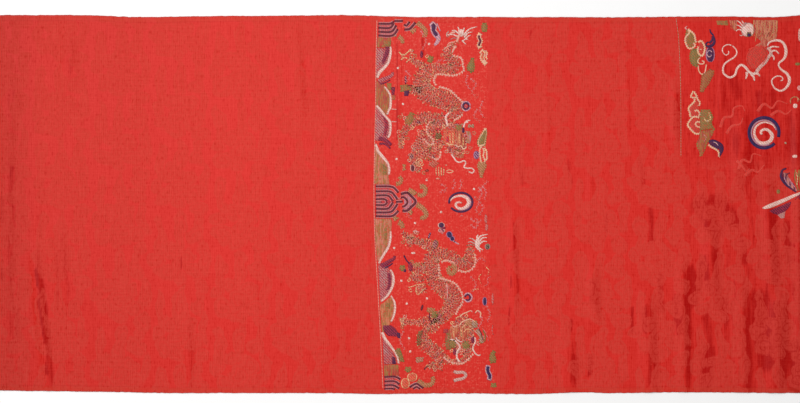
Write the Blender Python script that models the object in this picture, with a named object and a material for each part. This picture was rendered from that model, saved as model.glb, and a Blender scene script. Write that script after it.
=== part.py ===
"""A loom-width length of red silk brocade, laid out flat with its soft folds.

One woven cloth, selvedge to selvedge across Y and with plain cut ends across X.
The cloth lies on the plane z = 0. Its folds are low hollow ridges that run
roughly from selvedge to selvedge and stand up off that plane.
"""

import math
from collections import namedtuple

import bmesh
import bpy

# Driving dimensions, in metres
PANEL_LENGTH = 1.430
LOOM_WIDTH = 0.660
CLOTH_THICKNESS = 0.001
FINE_STEP = 0.0085
COARSE_STEP = 0.036
ROW_COUNT = 24
FOLD_TAPER = 0.75

MM = 0.001
SILK_RED = (0.58, 0.045, 0.034, 1.0)
SILK_ROUGHNESS = 0.55

# How far each selvedge wanders from straight: columns x_mm along the panel, rise_mm towards +Y
UPPER_SELVEDGE = (
    (-715, 2.0),
    (-560, 1.8),
    (-455, -1.4),
    (-280, 0.4),
    (-105, 1.8),
    (35, -1.4),
    (350, -1.9),
    (560, -0.6),
    (650, -1.7),
    (715, 2.0),
)
LOWER_SELVEDGE = (
    (-715, 4.4),
    (-630, 3.4),
    (-525, 1.9),
    (-400, -0.2),
    (-120, -0.2),
    (-50, -2.0),
    (90, -0.7),
    (230, -2.0),
    (315, 1.0),
    (370, -0.2),
    (490, 1.2),
    (715, -0.2),
)

# Each fold is a soft ridge: its middle line runs from (x, y_low) to (x + lean, y_high)
Fold = namedtuple("Fold", "name x_mm lean_mm y_low_mm y_high_mm half_width_mm height_mm")
FOLDS = (
    Fold("left_end_swell", -692, 4, -345, 300, 20, 3.0),
    Fold("left_crease", -613, -30, -345, -70, 15, 4.6),
    Fold("left_soft", -592, -8, -190, -20, 18, 2.6),
    Fold("left_upper", -584, 4, 190, 345, 20, 2.2),
    Fold("middle_low", -370, -6, -340, -180, 17, 2.4),
    Fold("upper_tuck", -172, -12, 120, 325, 15, 2.0),
    Fold("beside_motifs", 200, -4, -240, 0, 14, 2.4),
    Fold("plain_low_first", 298, -8, -345, -205, 24, 3.0),
    Fold("plain_low_second", 342, -6, -225, -90, 17, 2.8),
    Fold("plain_low_third", 438, -8, -345, -140, 22, 4.0),
    Fold("guide_line_low", 498, -6, -345, -90, 17, 4.6),
    Fold("guide_line_high", 482, -2, 90, 225, 13, 2.4),
    Fold("corner_first", 548, -10, -190, 10, 20, 3.4),
    Fold("corner_second", 600, -4, -345, -110, 22, 3.6),
    Fold("corner_third", 652, -12, -165, 60, 18, 4.0),
    Fold("corner_fourth", 658, 4, -345, -150, 24, 6.0),
    Fold("corner_high", 596, 4, 10, 170, 26, 3.0),
    Fold("right_end", 699, -4, -345, 200, 14, 5.0),
)


def remove_everything():
    for old in list(bpy.data.objects):
        bpy.data.objects.remove(old)


def ease(share):
    """0 to 1 along a half cosine, level at both ends."""
    return 0.5 - 0.5 * math.cos(math.pi * min(1.0, max(0.0, share)))


def edge_rise(table, x):
    """The selvedge's wander at x, eased from one row of its table to the next."""
    stations = [(x_mm * MM, rise_mm * MM) for x_mm, rise_mm in table]
    for (x_before, rise_before), (x_after, rise_after) in zip(stations, stations[1:]):
        if x <= x_after:
            share = (x - x_before) / (x_after - x_before)
            return rise_before + (rise_after - rise_before) * ease(share)
    return stations[-1][1]


def fold_height(x, y):
    """How far the cloth's underside stands above the plane that it lies on."""
    height = 0.0
    for fold in FOLDS:
        along = (y / MM - fold.y_low_mm) / (fold.y_high_mm - fold.y_low_mm)
        middle_mm = fold.x_mm + fold.lean_mm * along
        across = abs(x / MM - middle_mm) / fold.half_width_mm
        if 0.0 < along < 1.0 and across < 1.0:
            taper = math.sin(math.pi * along) ** FOLD_TAPER
            height += fold.height_mm * MM * taper * math.cos(0.5 * math.pi * across) ** 2
    return height


def near_a_fold(x):
    """Whether x lies where some fold raises the cloth."""
    for fold in FOLDS:
        low_mm = min(fold.x_mm, fold.x_mm + fold.lean_mm) - fold.half_width_mm
        high_mm = max(fold.x_mm, fold.x_mm + fold.lean_mm) + fold.half_width_mm
        if low_mm * MM <= x + FINE_STEP and x <= high_mm * MM:
            return True
    return False


def column_places():
    """Places along X: close together across the folds and far apart where the cloth lies flat."""
    places = [-PANEL_LENGTH / 2]
    while places[-1] < PANEL_LENGTH / 2 - FINE_STEP:
        step = COARSE_STEP
        if near_a_fold(places[-1]) or near_a_fold(places[-1] + COARSE_STEP):
            step = FINE_STEP
        places.append(min(places[-1] + step, PANEL_LENGTH / 2))
    places[-1] = PANEL_LENGTH / 2
    return places


def silk_material():
    material = bpy.data.materials.new("red_silk")
    material.use_nodes = True
    shader = material.node_tree.nodes["Principled BSDF"]
    shader.inputs["Base Color"].default_value = SILK_RED
    shader.inputs["Roughness"].default_value = SILK_ROUGHNESS
    shader.inputs["Metallic"].default_value = 0.0
    return material


def build_cloth():
    """The underside as a grid, raised along the folds and thickened upwards into one sheet."""
    columns = column_places()
    sheet = bmesh.new()
    bmesh.ops.create_grid(sheet, x_segments=len(columns) - 1, y_segments=ROW_COUNT, size=0.5)
    for point in sheet.verts:
        x = columns[round((point.co.x + 0.5) * (len(columns) - 1))]
        share = point.co.y + 0.5
        low = -LOOM_WIDTH / 2 + edge_rise(LOWER_SELVEDGE, x)
        high = LOOM_WIDTH / 2 + edge_rise(UPPER_SELVEDGE, x)
        y = low + (high - low) * share
        point.co = (x, y, fold_height(x, y))
    mesh = bpy.data.meshes.new("cloth_panel")
    sheet.to_mesh(mesh)
    sheet.free()
    mesh.shade_smooth()
    cloth = bpy.data.objects.new("cloth_panel", mesh)
    bpy.context.scene.collection.objects.link(cloth)
    cloth.data.materials.append(silk_material())
    thicken = cloth.modifiers.new("cloth_thickness", "SOLIDIFY")
    thicken.thickness = CLOTH_THICKNESS
    thicken.offset = 1.0
    thicken.use_rim = True
    return cloth


remove_everything()
build_cloth()
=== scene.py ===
"""A loom-width length of red silk brocade, lying open with its woven band and corner motifs.

The cloth is one thin sheet over its soft folds. Every motif is a thin slab of brocading silk laid
in the cloth's face, drawn on a weaver's point paper whose checks are counted from the top left.
"""

import math

import bpy
import numpy as np
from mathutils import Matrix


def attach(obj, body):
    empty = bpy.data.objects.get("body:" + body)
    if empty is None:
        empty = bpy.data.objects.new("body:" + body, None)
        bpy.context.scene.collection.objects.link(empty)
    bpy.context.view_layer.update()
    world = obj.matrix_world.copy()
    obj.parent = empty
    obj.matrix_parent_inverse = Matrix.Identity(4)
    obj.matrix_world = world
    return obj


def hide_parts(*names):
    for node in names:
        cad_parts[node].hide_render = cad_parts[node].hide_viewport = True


bl_info = {
    "name": "Red silk brocade panel",
    "version": (1, 0, 0),
    "blender": (4, 5, 0),
    "location": "3D View > Sidebar > Brocade",
    "description": "A laid out length of figured silk with brocaded waves, dragons and clouds",
    "category": "Object",
}

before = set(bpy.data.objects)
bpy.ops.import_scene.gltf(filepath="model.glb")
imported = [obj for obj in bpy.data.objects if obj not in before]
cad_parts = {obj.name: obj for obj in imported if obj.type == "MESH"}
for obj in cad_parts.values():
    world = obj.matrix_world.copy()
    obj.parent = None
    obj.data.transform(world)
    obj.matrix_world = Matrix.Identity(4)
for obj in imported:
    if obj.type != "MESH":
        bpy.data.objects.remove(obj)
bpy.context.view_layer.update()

MM = 0.001
# One check of the point paper is one step of the loom's figure cords
CHECK = 0.001752
# The paper's top left corner on the panel; it has a margin of about 16 checks above the cloth
PAPER_CORNER = (-0.7008, 0.35828)

# How far each selvedge wanders from straight: x_mm along the panel, rise_mm towards +Y
UPPER_SELVEDGE = (
    (-715, 2.0), (-560, 1.8), (-455, -1.4), (-280, 0.4), (-105, 1.8),
    (35, -1.4), (350, -1.9), (560, -0.6), (650, -1.7), (715, 2.0),
)
LOWER_SELVEDGE = (
    (-715, 4.4), (-630, 3.4), (-525, 1.9), (-400, -0.2), (-120, -0.2), (-50, -2.0),
    (90, -0.7), (230, -2.0), (315, 1.0), (370, -0.2), (490, 1.2), (715, -0.2),
)
# Soft ridges: x_mm, lean_mm, y_low_mm, y_high_mm, half_width_mm, height_mm
FOLDS = (
    (-692, 4, -345, 300, 20, 3.0), (-613, -30, -345, -70, 15, 4.6), (-592, -8, -190, -20, 18, 2.6),
    (-584, 4, 190, 345, 20, 2.2), (-370, -6, -340, -180, 17, 2.4), (-172, -12, 120, 325, 15, 2.0),
    (200, -4, -240, 0, 14, 2.4), (298, -8, -345, -205, 24, 3.0), (342, -6, -225, -90, 17, 2.8),
    (438, -8, -345, -140, 22, 4.0), (498, -6, -345, -90, 17, 4.6), (482, -2, 90, 225, 13, 2.4),
    (548, -10, -190, 10, 20, 3.4), (600, -4, -345, -110, 22, 3.6), (652, -12, -165, 60, 18, 4.0),
    (658, 4, -345, -150, 24, 6.0), (596, 4, 10, 170, 26, 3.0), (699, -4, -345, 200, 14, 5.0),
)
# Sharper creases that stand less than a millimetre, in the same columns
CREASES = (
    (-4, 4, 60, 290, 7, 0.7), (40, -3, 215, 305, 6, 0.6), (-640, 10, -120, 60, 8, 0.8),
    (-470, 6, 40, 240, 9, 0.6), (-250, -8, -250, -40, 9, 0.6), (-60, 6, -200, -20, 8, 0.5),
    (260, -6, 60, 280, 8, 0.7), (330, 6, -60, 120, 9, 0.7), (400, -6, 90, 300, 8, 0.6),
    (560, 6, 120, 300, 9, 0.8), (640, -8, 60, 230, 9, 0.9), (-540, -4, -260, -100, 8, 0.7),
)
# Streaks of painted shade where the tilted satin ground turns dark: first column and row, last column and
# row, half width, depth
PAINTED_SHADE_STREAKS = (
    (36.2, 271, 38.2, 284, 1.8, 1.5), (38.2, 299, 41.6, 318, 1.7, 1.5), (41.6, 318, 46.2, 344, 2.0, 1.5),
    (46.5, 366, 47, 375, 1.9, 1.4), (57, 250, 58, 305, 1.6, 0.8), (181, 256, 181.6, 268, 0.9, 1.15),
    (2, 200, 2, 222, 2.4, 0.9), (2, 270, 3, 282, 2.4, 0.9), (397, 42, 397.5, 138, 1.1, 0.9),
    (422.6, 36, 422.8, 52, 1.0, 0.9), (515, 222, 514, 262, 2.0, 0.8), (511, 278, 511, 288, 1.2, 0.9),
    (509.5, 308, 509, 322, 1.2, 0.9), (593, 282, 594, 308, 4.0, 0.85), (571.5, 320, 571.5, 330, 1.8, 0.9),
    (575, 358, 574, 380, 4.4, 0.9), (590, 358, 590, 375, 2.4, 0.9), (632, 308, 632, 330, 1.8, 0.9),
    (645, 310, 645, 330, 4.0, 0.8), (660, 275, 661, 310, 4.0, 0.7), (678, 300, 679, 330, 6.0, 0.8),
    (700, 204, 716, 232, 9.0, 1.0), (716, 200, 734, 222, 8.0, 1.0), (691, 272, 692, 302, 6.0, 1.0),
    (698, 290, 703, 258, 3.0, 1.0), (703, 258, 709, 290, 3.0, 1.0), (760, 298, 766, 361, 10.0, 1.0),
    (777, 305, 778, 345, 4.5, 1.0), (771, 214, 775, 282, 3.4, 1.0), (708, 350, 706, 392, 7.0, 1.0),
    (794, 347, 795, 394, 5.5, 1.0), (724, 300, 726, 322, 4.0, 0.9), (742, 240, 744, 262, 4.0, 0.8),
    (786, 222, 790, 262, 4.0, 0.8), (748, 366, 750, 390, 5.0, 0.8), (531, 26, 531, 42, 1.4, 0.9),
    (551, 28, 553, 46, 2.2, 0.6), (674, 100, 674, 128, 1.0, 0.9), (665, 40, 664, 52, 2.4, 0.5),
    (641, 162, 643, 184, 3.0, 0.7), (569, 162, 571, 182, 2.4, 0.6), (519, 166, 523, 184, 3.0, 0.6),
    (618, 40, 621, 56, 2.0, 0.5), (730, 104, 736, 150, 7.0, 0.35), (790, 120, 796, 190, 6.0, 0.5),
    (756, 165, 760, 200, 5.0, 0.5), (650, 208, 652, 240, 3.0, 0.7), (606, 214, 606, 232, 2.0, 0.7),
    (706, 318, 710, 340, 5.0, 0.7), (650, 350, 652, 384, 4.0, 0.7), (16, 310, 18, 340, 3.0, 0.6),
    (733, 77, 737, 94, 6.0, 0.6), (758, 93, 762, 118, 3.2, 0.7), (773, 92, 774, 112, 3.5, 0.7),
    (738, 172, 742, 188, 6.0, 0.6),
)
# Painted light fall-off along the cloth, brighter near the middle and darker towards both ends: column and
# share
PAINTED_LIGHT_FALLOFF = (
    (-8, 0.85), (20, 0.89), (45, 0.97), (120, 1.0), (230, 1.08), (350, 1.08),
    (500, 1.09), (560, 1.07), (660, 1.07), (700, 1.05), (740, 1.03), (808, 0.98),
)
# The damask figure's cloud heads and tails in one repeat: x, y, half width, half height in mm
CLOUD_FIGURE = (
    (24, 30, 13, 13), (48, 18, 13, 12), (50, 44, 14, 14), (76, 34, 13, 13), (66, 62, 12, 13),
    (36, 70, 12, 12), (88, 8, 12, 11), (12, 56, 10, 12), (94, 58, 8, 26), (18, 94, 8, 28),
    (52, 98, 9, 30), (80, 96, 13, 12), (84, 116, 8, 12),
)
# A selvedge frays in and out by about this much, in mm
FRAY = 0.35
# The brocaded band's width, and the figured corner's left column and last row, in checks
BAND_WIDTH = 114
CORNER_LEFT = 679
CORNER_LAST_ROW = 172
# A slab's rim and its belly lie this far inside the cloth's face, in mm
RIM_DEPTH = 0.1
BELLY_DEPTH = 0.25
# The thinnest line's half width, in checks
THINNEST = 0.15
# Places of a net's lines across a shape, from its left side to its right side, for thin and broad lines
ACROSS = {4: np.array([-1, -0.75, 0.75, 1]), 5: np.array([-1, -0.8, 0, 0.8, 1])}
# How worn the silk is, by the lines of its net: thin lines, broad lines and faces
WEAR = {4: 0.2, 5: 0.5, 6: 1.0}
# Dark dyes hold their floats better: the share of that wear
DARK_DYES = ("navy", "plum")
DARK_WEAR = 0.35
# Tufts along bumpy sides, by dye: half size and gap in checks
BUMPS = {"olive": (1.0, 2.5), "green": (1.0, 2.5), "cream": (0.5, 2.2)}
# Node settings that many nodes share
SMOOTH = {"interpolation_type": "SMOOTHSTEP"}
COLOURS = {"data_type": "RGBA"}


# Settings


def linear(colour):
    """An sRGB hex colour as linear red, green, blue and 1: ((v + 0.055) / 1.055) to the power 2.4."""
    shares = [int(colour[k : k + 2], 16) / 255 for k in (1, 3, 5)]
    return tuple(s / 12.92 if s <= 0.04045 else ((s + 0.055) / 1.055) ** 2.4 for s in shares) + (1.0,)


def dye(label, colour, use):
    """A colour setting whose default is an sRGB hex value."""
    return bpy.props.FloatVectorProperty(
        name=label, description=use, default=linear(colour), subtype="COLOR", size=4, min=0.0, max=1.0
    )


def length(label, metres, use):
    """A length setting in metres."""
    return bpy.props.FloatProperty(
        name=label, description=use, default=metres, min=0.0, subtype="DISTANCE", unit="LENGTH"
    )


class ClothSettings(bpy.types.PropertyGroup):
    """Sizes and dyes of the ground cloth"""

    panel_length: length("Length", 1.43, "Length of the cloth between its cut ends")
    loom_width: length("Loom width", 0.66, "Width of the cloth between its selvedges")
    thickness: length("Thickness", 0.001, "Thickness of the cloth")
    columns: bpy.props.IntProperty(
        name="Columns", description="Faces along the cloth", default=560, min=40
    )
    rows: bpy.props.IntProperty(
        name="Rows", description="Faces across the cloth", default=84, min=20
    )
    repeat_width: length("Repeat width", 0.105, "Width of one repeat of the cloud figure")
    repeat_height: length("Repeat height", 0.131, "Height of one repeat of the cloud figure")
    ground: dye("Satin ground", "#D12820", "Flat satin ground")
    # Colour of the painted shade on the tilted satin ground
    painted_shade_dye: dye("Tilted ground", "#B20C06", "Satin ground that slopes away from the light")
    cloud: dye("Cloud figure", "#CC362C", "Matt side of the damask that draws the clouds")
    band: dye("Band ground", "#D12C23", "Plain ground under the brocaded band")
    selvedge: dye("Selvedge", "#C03C28", "Woven selvedge strip")


class SilkDyes(bpy.types.PropertyGroup):
    """Dyes of the brocading silks"""

    foam: dye("Foam", "#E1AEA0", "Wave foam and pale outlines")
    white: dye("White", "#F0D6CC", "Claws, eyes and pearl scrolls")
    plum: dye("Plum", "#541A36", "Rock stripes and dark hatching")
    magenta: dye("Magenta", "#962C46", "Wave hatching")
    pink: dye("Pink", "#DC8286", "Edges of the rock stripes")
    mauve: dye("Mauve", "#BC7A74", "Wave hills")
    olive: dye("Olive", "#99743F", "Olive hills and leaves")
    green: dye("Green", "#6A7240", "Green patches and leaves")
    cream: dye("Cream", "#F0BE8C", "Gold-toned outlines")
    navy: dye("Navy", "#1F2250", "Cloud lobes and pearl rings")
    lilac: dye("Lilac", "#A97FA0", "Light edge of the navy lobes")
    tan: dye("Tan", "#C67E64", "Dragon scales")
    rust: dye("Rust", "#A64A3A", "Ground between the scales")
    maroon: dye("Maroon", "#6E2323", "Dots between the scales")
    blush: dye("Blush", "#F0A08A", "Belly and back combs")
    orange: dye("Orange", "#CA7E58", "Faces and gold-wrapped thread")
    gold: dye("Gold", "#C99A55", "Hair")
    grey: dye("Grey", "#B4928C", "Grey outlines")
    scarlet: dye("Scarlet", "#E0382E", "Red outlines and fills")
    flame: dye("Flame", "#D2483C", "Faint flame scrolls")


class StageSettings(bpy.types.PropertyGroup):
    """Light and camera"""

    camera_height: length("Camera height", 4.0, "Height of the camera above the surface")
    view_width: length("View width", 1.4016, "Width of surface that the camera sees")
    view_offset: length("View offset", 0.0053, "How far above the cloth's middle the view's middle lies")
    lamp_power: bpy.props.FloatProperty(
        name="Lamp power", description="Power of the large soft lamp", default=58.0, min=0.0, unit="POWER"
    )
    room_light: bpy.props.FloatProperty(
        name="Room light", description="Strength of the even light", default=0.49, min=0.0
    )
    surface: dye("Surface", "#FEFEFE", "Pale surface under the cloth")


# Heights of the cloth


def edge_rise(table, x):
    """A selvedge's wander at x in mm: half a cosine from one row of its table to the next."""
    places, rises = np.array(table, float).T
    k = np.clip(np.searchsorted(places, x, side="right") - 1, 0, len(places) - 2)
    share = np.clip((x - places[k]) / (places[k + 1] - places[k]), 0, 1)
    return rises[k] + (rises[k + 1] - rises[k]) * (0.5 - 0.5 * np.cos(np.pi * share))


def relief(x, y):
    """Height of the underside in mm, summed over the ridges.

    A ridge is its height times sin(pi u) to the 3/4 along it times cos(pi v / 2) squared across it.
    """
    height = np.zeros(np.broadcast(x, y).shape)
    for x0, lean, y_low, y_high, half, rise in FOLDS + CREASES:
        along = np.clip((y - y_low) / (y_high - y_low), 0, 1)
        across = np.clip((x - x0 - lean * along) / half, -1, 1)
        height += rise * np.sin(np.pi * along) ** 0.75 * np.cos(0.5 * np.pi * across) ** 2
    return height


# Drawing on the point paper


def through(points, step):
    """Rows of points joined by the cubic through four neighbours, a sample about every step checks."""
    p = np.asarray(points, float)
    p = np.vstack([2 * p[0] - p[1], p, 2 * p[-1] - p[-2]])
    gaps = np.hypot(*(p[2:-1, :2] - p[1:-2, :2]).T)
    step = min(step, gaps.sum() / 3)
    counts = np.maximum(1, np.round(gaps / step).astype(int))
    k = np.repeat(np.arange(len(counts)), counts)
    t = np.concatenate([np.arange(c) / c for c in counts])[:, None]
    a, b, c, d = p[k], p[k + 1], p[k + 2], p[k + 3]
    bent = (2 * a - 5 * b + 4 * c - d) * t**2 + (3 * b - a - 3 * c + d) * t**3
    return np.vstack([0.5 * (2 * b + (c - a) * t + bent), p[-2]])


def sides(curve):
    """Unit vectors along and across a sampled curve, from its central differences."""
    way = np.gradient(curve[:, :2], axis=0)
    way /= np.maximum(np.hypot(way[:, 0], way[:, 1])[:, None], 1e-9)
    return way, np.stack([way[:, 1], -way[:, 0]], -1)


def way_along(line):
    """Length walked along a line up to each of its points."""
    return np.concatenate([[0], np.cumsum(np.hypot(*np.diff(line, axis=0).T))])


def places_along(line, way, stops):
    """Places on a line at the given lengths along it."""
    return np.stack([np.interp(stops, way, line[:, k]) for k in (0, 1)], -1)


def ribbon(points, step=1.4, lines=5):
    """A band along a curve: place = curve(u) + v half width(u) side(u), with v from -1 to 1."""
    curve = through(points, step)
    side = sides(curve)[1]
    half = np.maximum(curve[:, 2], THINNEST)
    return (curve[:, None, :2] + ACROSS[lines][None, :, None] * half[:, None, None] * side[:, None])[None]


def stroke(points, start, end=None, step=1.4, lines=5):
    """A ribbon whose half width runs evenly from start to end, times a point's own third number."""
    halves = np.linspace(start, start if end is None else end, len(points))
    rows = [(*p[:2], h * (p[2] if len(p) > 2 else 1)) for p, h in zip(points, halves)]
    return ribbon(rows, step, lines)


def lobe(column, row, half_width, half_height, turn=0.0, point=0.0):
    """An oval as a ribbon: half width times sqrt(1 - u squared); point pulls its last end to a tip."""
    u = np.linspace(-0.97, 0.97, 9)
    half = half_width * np.sqrt(1 - u**2) * (1 - point * 0.5 * (1 + u))
    c, s = math.cos(math.radians(turn)), math.sin(math.radians(turn))
    rows = np.stack([column - s * u * half_height, row + c * u * half_height, half], -1)
    return ribbon(rows, max(0.5, half_height / 4))


def ring(column, row, radius_x, radius_y, half, start=0.0, end=360.0):
    """An arc of an oval as a ribbon, from start to end in degrees, clockwise on the paper."""
    a = np.radians(np.linspace(start, end, max(7, int(abs(end - start) / 18))))
    rows = [column + radius_x * np.cos(a), row + radius_y * np.sin(a), np.full(a.shape, half)]
    return ribbon(np.stack(rows, -1), 1.5)


def scroll(column, row, outer, inner, turns, half_outer, half_inner, start=0.0):
    """A spiral as a ribbon: the radius falls evenly from outer to inner over its turns."""
    u = np.linspace(0, 1, max(8, int(abs(turns) * 14)))
    a = math.radians(start) + u * turns * 2 * math.pi
    r = outer + (inner - outer) * u
    half = half_outer + (half_inner - half_outer) * u
    return ribbon(np.stack([column + r * np.cos(a), row + r * np.sin(a), half], -1), 1.3)


def patch(left, right, step=2.2):
    """A ruled face: place = (1 - v) left(u) + v right(u), with u a share of each curve's length."""
    count = max(5, int(np.hypot(*np.diff(np.asarray(right, float)[:, :2], axis=0).T).sum() / step))
    shares = np.concatenate([[0], np.linspace(0.04, 0.96, count), [1]])
    lines = []
    for path in (left, right):
        curve = through([(*p[:2], 1) for p in path], 1.0)[:, :2]
        way = way_along(curve)
        lines.append(places_along(curve, way, shares * way[-1]))
    v = np.array([0, 0.05, 0.35, 0.65, 0.95, 1])[None, :, None]
    return ((1 - v) * lines[0][:, None] + v * lines[1][:, None])[None]


def dots(places, half):
    """Square tufts: place + half times each pair of -1, -0.75, 0.75 and 1, drawn in at the corners."""
    square = np.stack(np.meshgrid(ACROSS[4], ACROSS[4], indexing="ij"), -1)
    square *= np.where(np.abs(square).sum(-1) > 1.9, 0.8, 1.0)[..., None]
    return np.asarray(places, float)[:, None, None, :2] + half * square[None]


def scale_arcs(curve, pick, along=2.2, across=2.8, radius=1.3, half=0.42):
    """Half rings on a lattice whose rows are shifted by half a step in turn, each a little astray.

    Each arc is centre + radius (cos a way + sin a side) for a from -82 to 82 degrees, turned by about
    25 degrees either way.
    """
    dense = through(curve, along)
    way, side = sides(dense)
    centres, ways, turned = [], [], []
    for k, (column, row, wide) in enumerate(dense):
        count = int(wide / across) + 1
        offsets = (np.arange(-count, count + 1) + 0.5 * (k % 2)) * across
        offsets = offsets[np.abs(offsets) < wide - 0.3 * radius]
        centres.append(np.array([column, row]) + offsets[:, None] * side[k])
        ways.append(np.repeat(way[k][None], len(offsets), 0))
        turned.append(np.repeat(side[k][None], len(offsets), 0))
    centres, ways, turned = (np.concatenate(v) for v in (centres, ways, turned))
    centres = centres + pick.normal(0, 0.32, centres.shape)
    a = np.radians(np.array([-82, -68, 0, 68, 82])) + pick.normal(0, 0.45, len(centres))[:, None]
    a = a[:, :, None, None]
    r = radius + half * ACROSS[4][None, None, :, None]
    spokes = np.cos(a) * ways[:, None, None] + np.sin(a) * turned[:, None, None]
    return centres, centres[:, None, None] + r * spokes


def rims(shape, gap):
    """Places about gap checks apart along the two long sides of a ribbon or a ruled face."""
    places = []
    for line in (shape[0][:, 0], shape[0][:, -1]):
        way = way_along(line)
        places.append(places_along(line, way, np.arange(0.5 * gap, way[-1], gap)))
    return np.vstack(places)


def comb(path, tooth, gap, half, bend=0.5):
    """Small teeth on one side of a curve: root + tooth (u side + bend u squared way), narrower to the tip."""
    dense = through([(*p[:2], 1) for p in path], gap)
    way, side = sides(dense)
    root = dense[:, None, :2]
    u = np.array([0, 0.15, 0.8, 1])[None, :, None]
    middle = root + tooth * (u * side[:, None] + bend * u**2 * way[:, None])
    v = ACROSS[4][None, None, :, None] * half * np.array([1.0, 0.9, 0.6, 0.4])[None, :, None, None]
    return middle[:, :, None] + v * way[:, None, None]


# Meshes


def quads(net):
    """Faces between the neighbouring rows and lines of a net of point numbers."""
    return np.stack([net[:-1, :-1], net[1:, :-1], net[1:, 1:], net[:-1, 1:]], -1).reshape(-1, 4)


def placed(name, data):
    """A new object at the origin, linked to the scene."""
    made = bpy.data.objects.new(name, data)
    bpy.context.scene.collection.objects.link(made)
    return made


def slab_faces(rows, lines):
    """Quads of a closed slab: an upper and a lower net of rows by lines points that share their rim."""
    upper = np.arange(rows * lines).reshape(rows, lines)
    lower = upper.copy()
    lower[1:-1, 1:-1] = rows * lines + np.arange((rows - 2) * (lines - 2)).reshape(rows - 2, lines - 2)
    return np.vstack([quads(upper), quads(lower)[:, ::-1]])


def slab(places, lift):
    """Points and faces of slabs in the cloth's face: the crown is lift mm above it, rim and belly inside."""
    count, rows, lines = places.shape[:3]
    thickness = bpy.context.scene.brocade_cloth.thickness / MM
    x = PAPER_CORNER[0] / MM + places[..., 0] * CHECK / MM
    y = PAPER_CORNER[1] / MM - places[..., 1] * CHECK / MM
    crown = np.zeros((rows, lines))
    crown[1:-1, 1:-1] = 1.0
    face = relief(x, y) + thickness
    upper = np.stack([x, y, face - RIM_DEPTH + (lift + RIM_DEPTH) * crown], -1)
    lower = np.stack([x, y, face - BELLY_DEPTH], -1)[:, 1:-1, 1:-1]
    points = np.concatenate([upper.reshape(count, -1, 3), lower.reshape(count, -1, 3)], 1) * MM
    faces = slab_faces(rows, lines)
    a, b, c = (upper.reshape(count, -1, 3)[:, faces[: len(faces) // 2, k]] for k in (0, 1, 2))
    # A shape drawn the other way round has its faces turned, so that they point outwards
    turn = np.cross(b - a, c - a)[..., 2].sum(1)
    faces = np.where((turn < 0)[:, None, None], faces[None, :, ::-1], faces[None])
    faces = faces + (np.arange(count) * points.shape[1])[:, None, None]
    return points.reshape(-1, 3), faces.reshape(-1, 4)


def woven(name, shapes):
    """One piece of brocading silk from rows of (places, dye, second dye, lift in mm).

    The dye's alpha is how worn it is, more in broad shapes than in lines. The second dye's alpha says
    how it crosses the first: 1 in a slanting twill, 0 in streaks.
    """
    dyes = bpy.context.scene.brocade_dyes
    points, faces, first, second, total = [], [], [], [], 0
    for places, colour, cross, lift in shapes:
        if not len(places):
            continue
        new_points, new_faces = slab(places, lift)
        points.append(new_points)
        faces.append(new_faces + total)
        total += len(new_points)
        own = np.array(getattr(dyes, colour))
        own[3] = WEAR[places.shape[2]] * (DARK_WEAR if colour in DARK_DYES else 1.0)
        other = np.array(getattr(dyes, cross.strip("~"))) if cross else own * 0.8
        other[3] = 0.0 if cross and cross.startswith("~") else 1.0
        first.append(np.repeat(own[None], len(new_points), 0))
        second.append(np.repeat(other[None], len(new_points), 0))
    mesh = bpy.data.meshes.new(name)
    mesh.from_pydata(np.concatenate(points), [], np.concatenate(faces))
    for label, values in (("dye", first), ("second_dye", second)):
        layer = mesh.attributes.new(label, "FLOAT_COLOR", "POINT")
        layer.data.foreach_set("color", np.concatenate(values).astype(np.float32).ravel())
    mesh.shade_smooth()
    mesh.materials.append(brocading_silk())
    piece = placed(name, mesh)
    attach(piece, "root")
    return piece


def laid(shape, colour, cross=None, lift=0.3, bumpy=False):
    """Rows for woven: one shape and, where it is bumpy, its dye's tufts along its sides."""
    rows = [(shape, colour, cross, lift)]
    if bumpy and colour in BUMPS:
        size, gap = BUMPS[colour]
        rows.append((dots(rims(shape, gap), size), colour, cross, lift - 0.03))
    return rows


def outlined(shape, colour, edge, grow=0.7, cross=None, lift=0.3):
    """A shape over a wider one of the edge's dye, whose net is moved out by grow checks all round."""
    middle = 0.5 * (shape[:, :, :1] + shape[:, :, -1:])
    away = shape - middle
    size = np.maximum(np.hypot(away[..., 0], away[..., 1]), 1e-6)[..., None]
    wide = middle + away * (1 + grow / np.maximum(size.max(axis=2, keepdims=True), 0.3))
    ahead = shape[:, 0] - shape[:, 1]
    behind = shape[:, -1] - shape[:, -2]
    wide[:, 0] += grow * ahead / np.maximum(np.hypot(ahead[..., 0], ahead[..., 1])[..., None], 1e-6)
    wide[:, -1] += grow * behind / np.maximum(np.hypot(behind[..., 0], behind[..., 1])[..., None], 1e-6)
    return [(wide, edge, None, lift * 0.6), (shape, colour, cross, lift)]


# Materials


def plug(tree, node, inputs):
    """Fills a node's sockets, in order or by name; a node is linked by its first output in use."""
    for key, value in inputs.items() if isinstance(inputs, dict) else enumerate(inputs):
        if isinstance(value, bpy.types.Node):
            value = next(output for output in value.outputs if output.enabled)
        if isinstance(value, bpy.types.NodeSocket):
            tree.links.new(value, node.inputs[key])
        else:
            node.inputs[key].default_value = value


def add(tree, kind, inputs=(), **settings):
    """Adds a node with its own settings and fills its sockets."""
    node = tree.nodes.new("ShaderNode" + kind)
    for key, value in settings.items():
        setattr(node, key, value)
    plug(tree, node, inputs)
    return node


def new_material(name):
    """A material with its node tree, its shader and the places in object space that its patterns read."""
    material = bpy.data.materials.new(name)
    material.use_nodes = True
    tree = material.node_tree
    return material, tree, tree.nodes["Principled BSDF"], add(tree, "TexCoord").outputs["Object"]


def threads(tree, place, across_mm, along_mm, detail=2.0):
    """Noise stretched along the wefts, which run across the loom: fine in x and long in y."""
    scale = (1 / (across_mm * MM), 1 / (along_mm * MM), 1.0)
    stretched = add(tree, "Mapping", {"Vector": place, "Scale": scale})
    return add(tree, "TexNoise", {"Vector": stretched, "Scale": 1.0, "Detail": detail})


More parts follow.
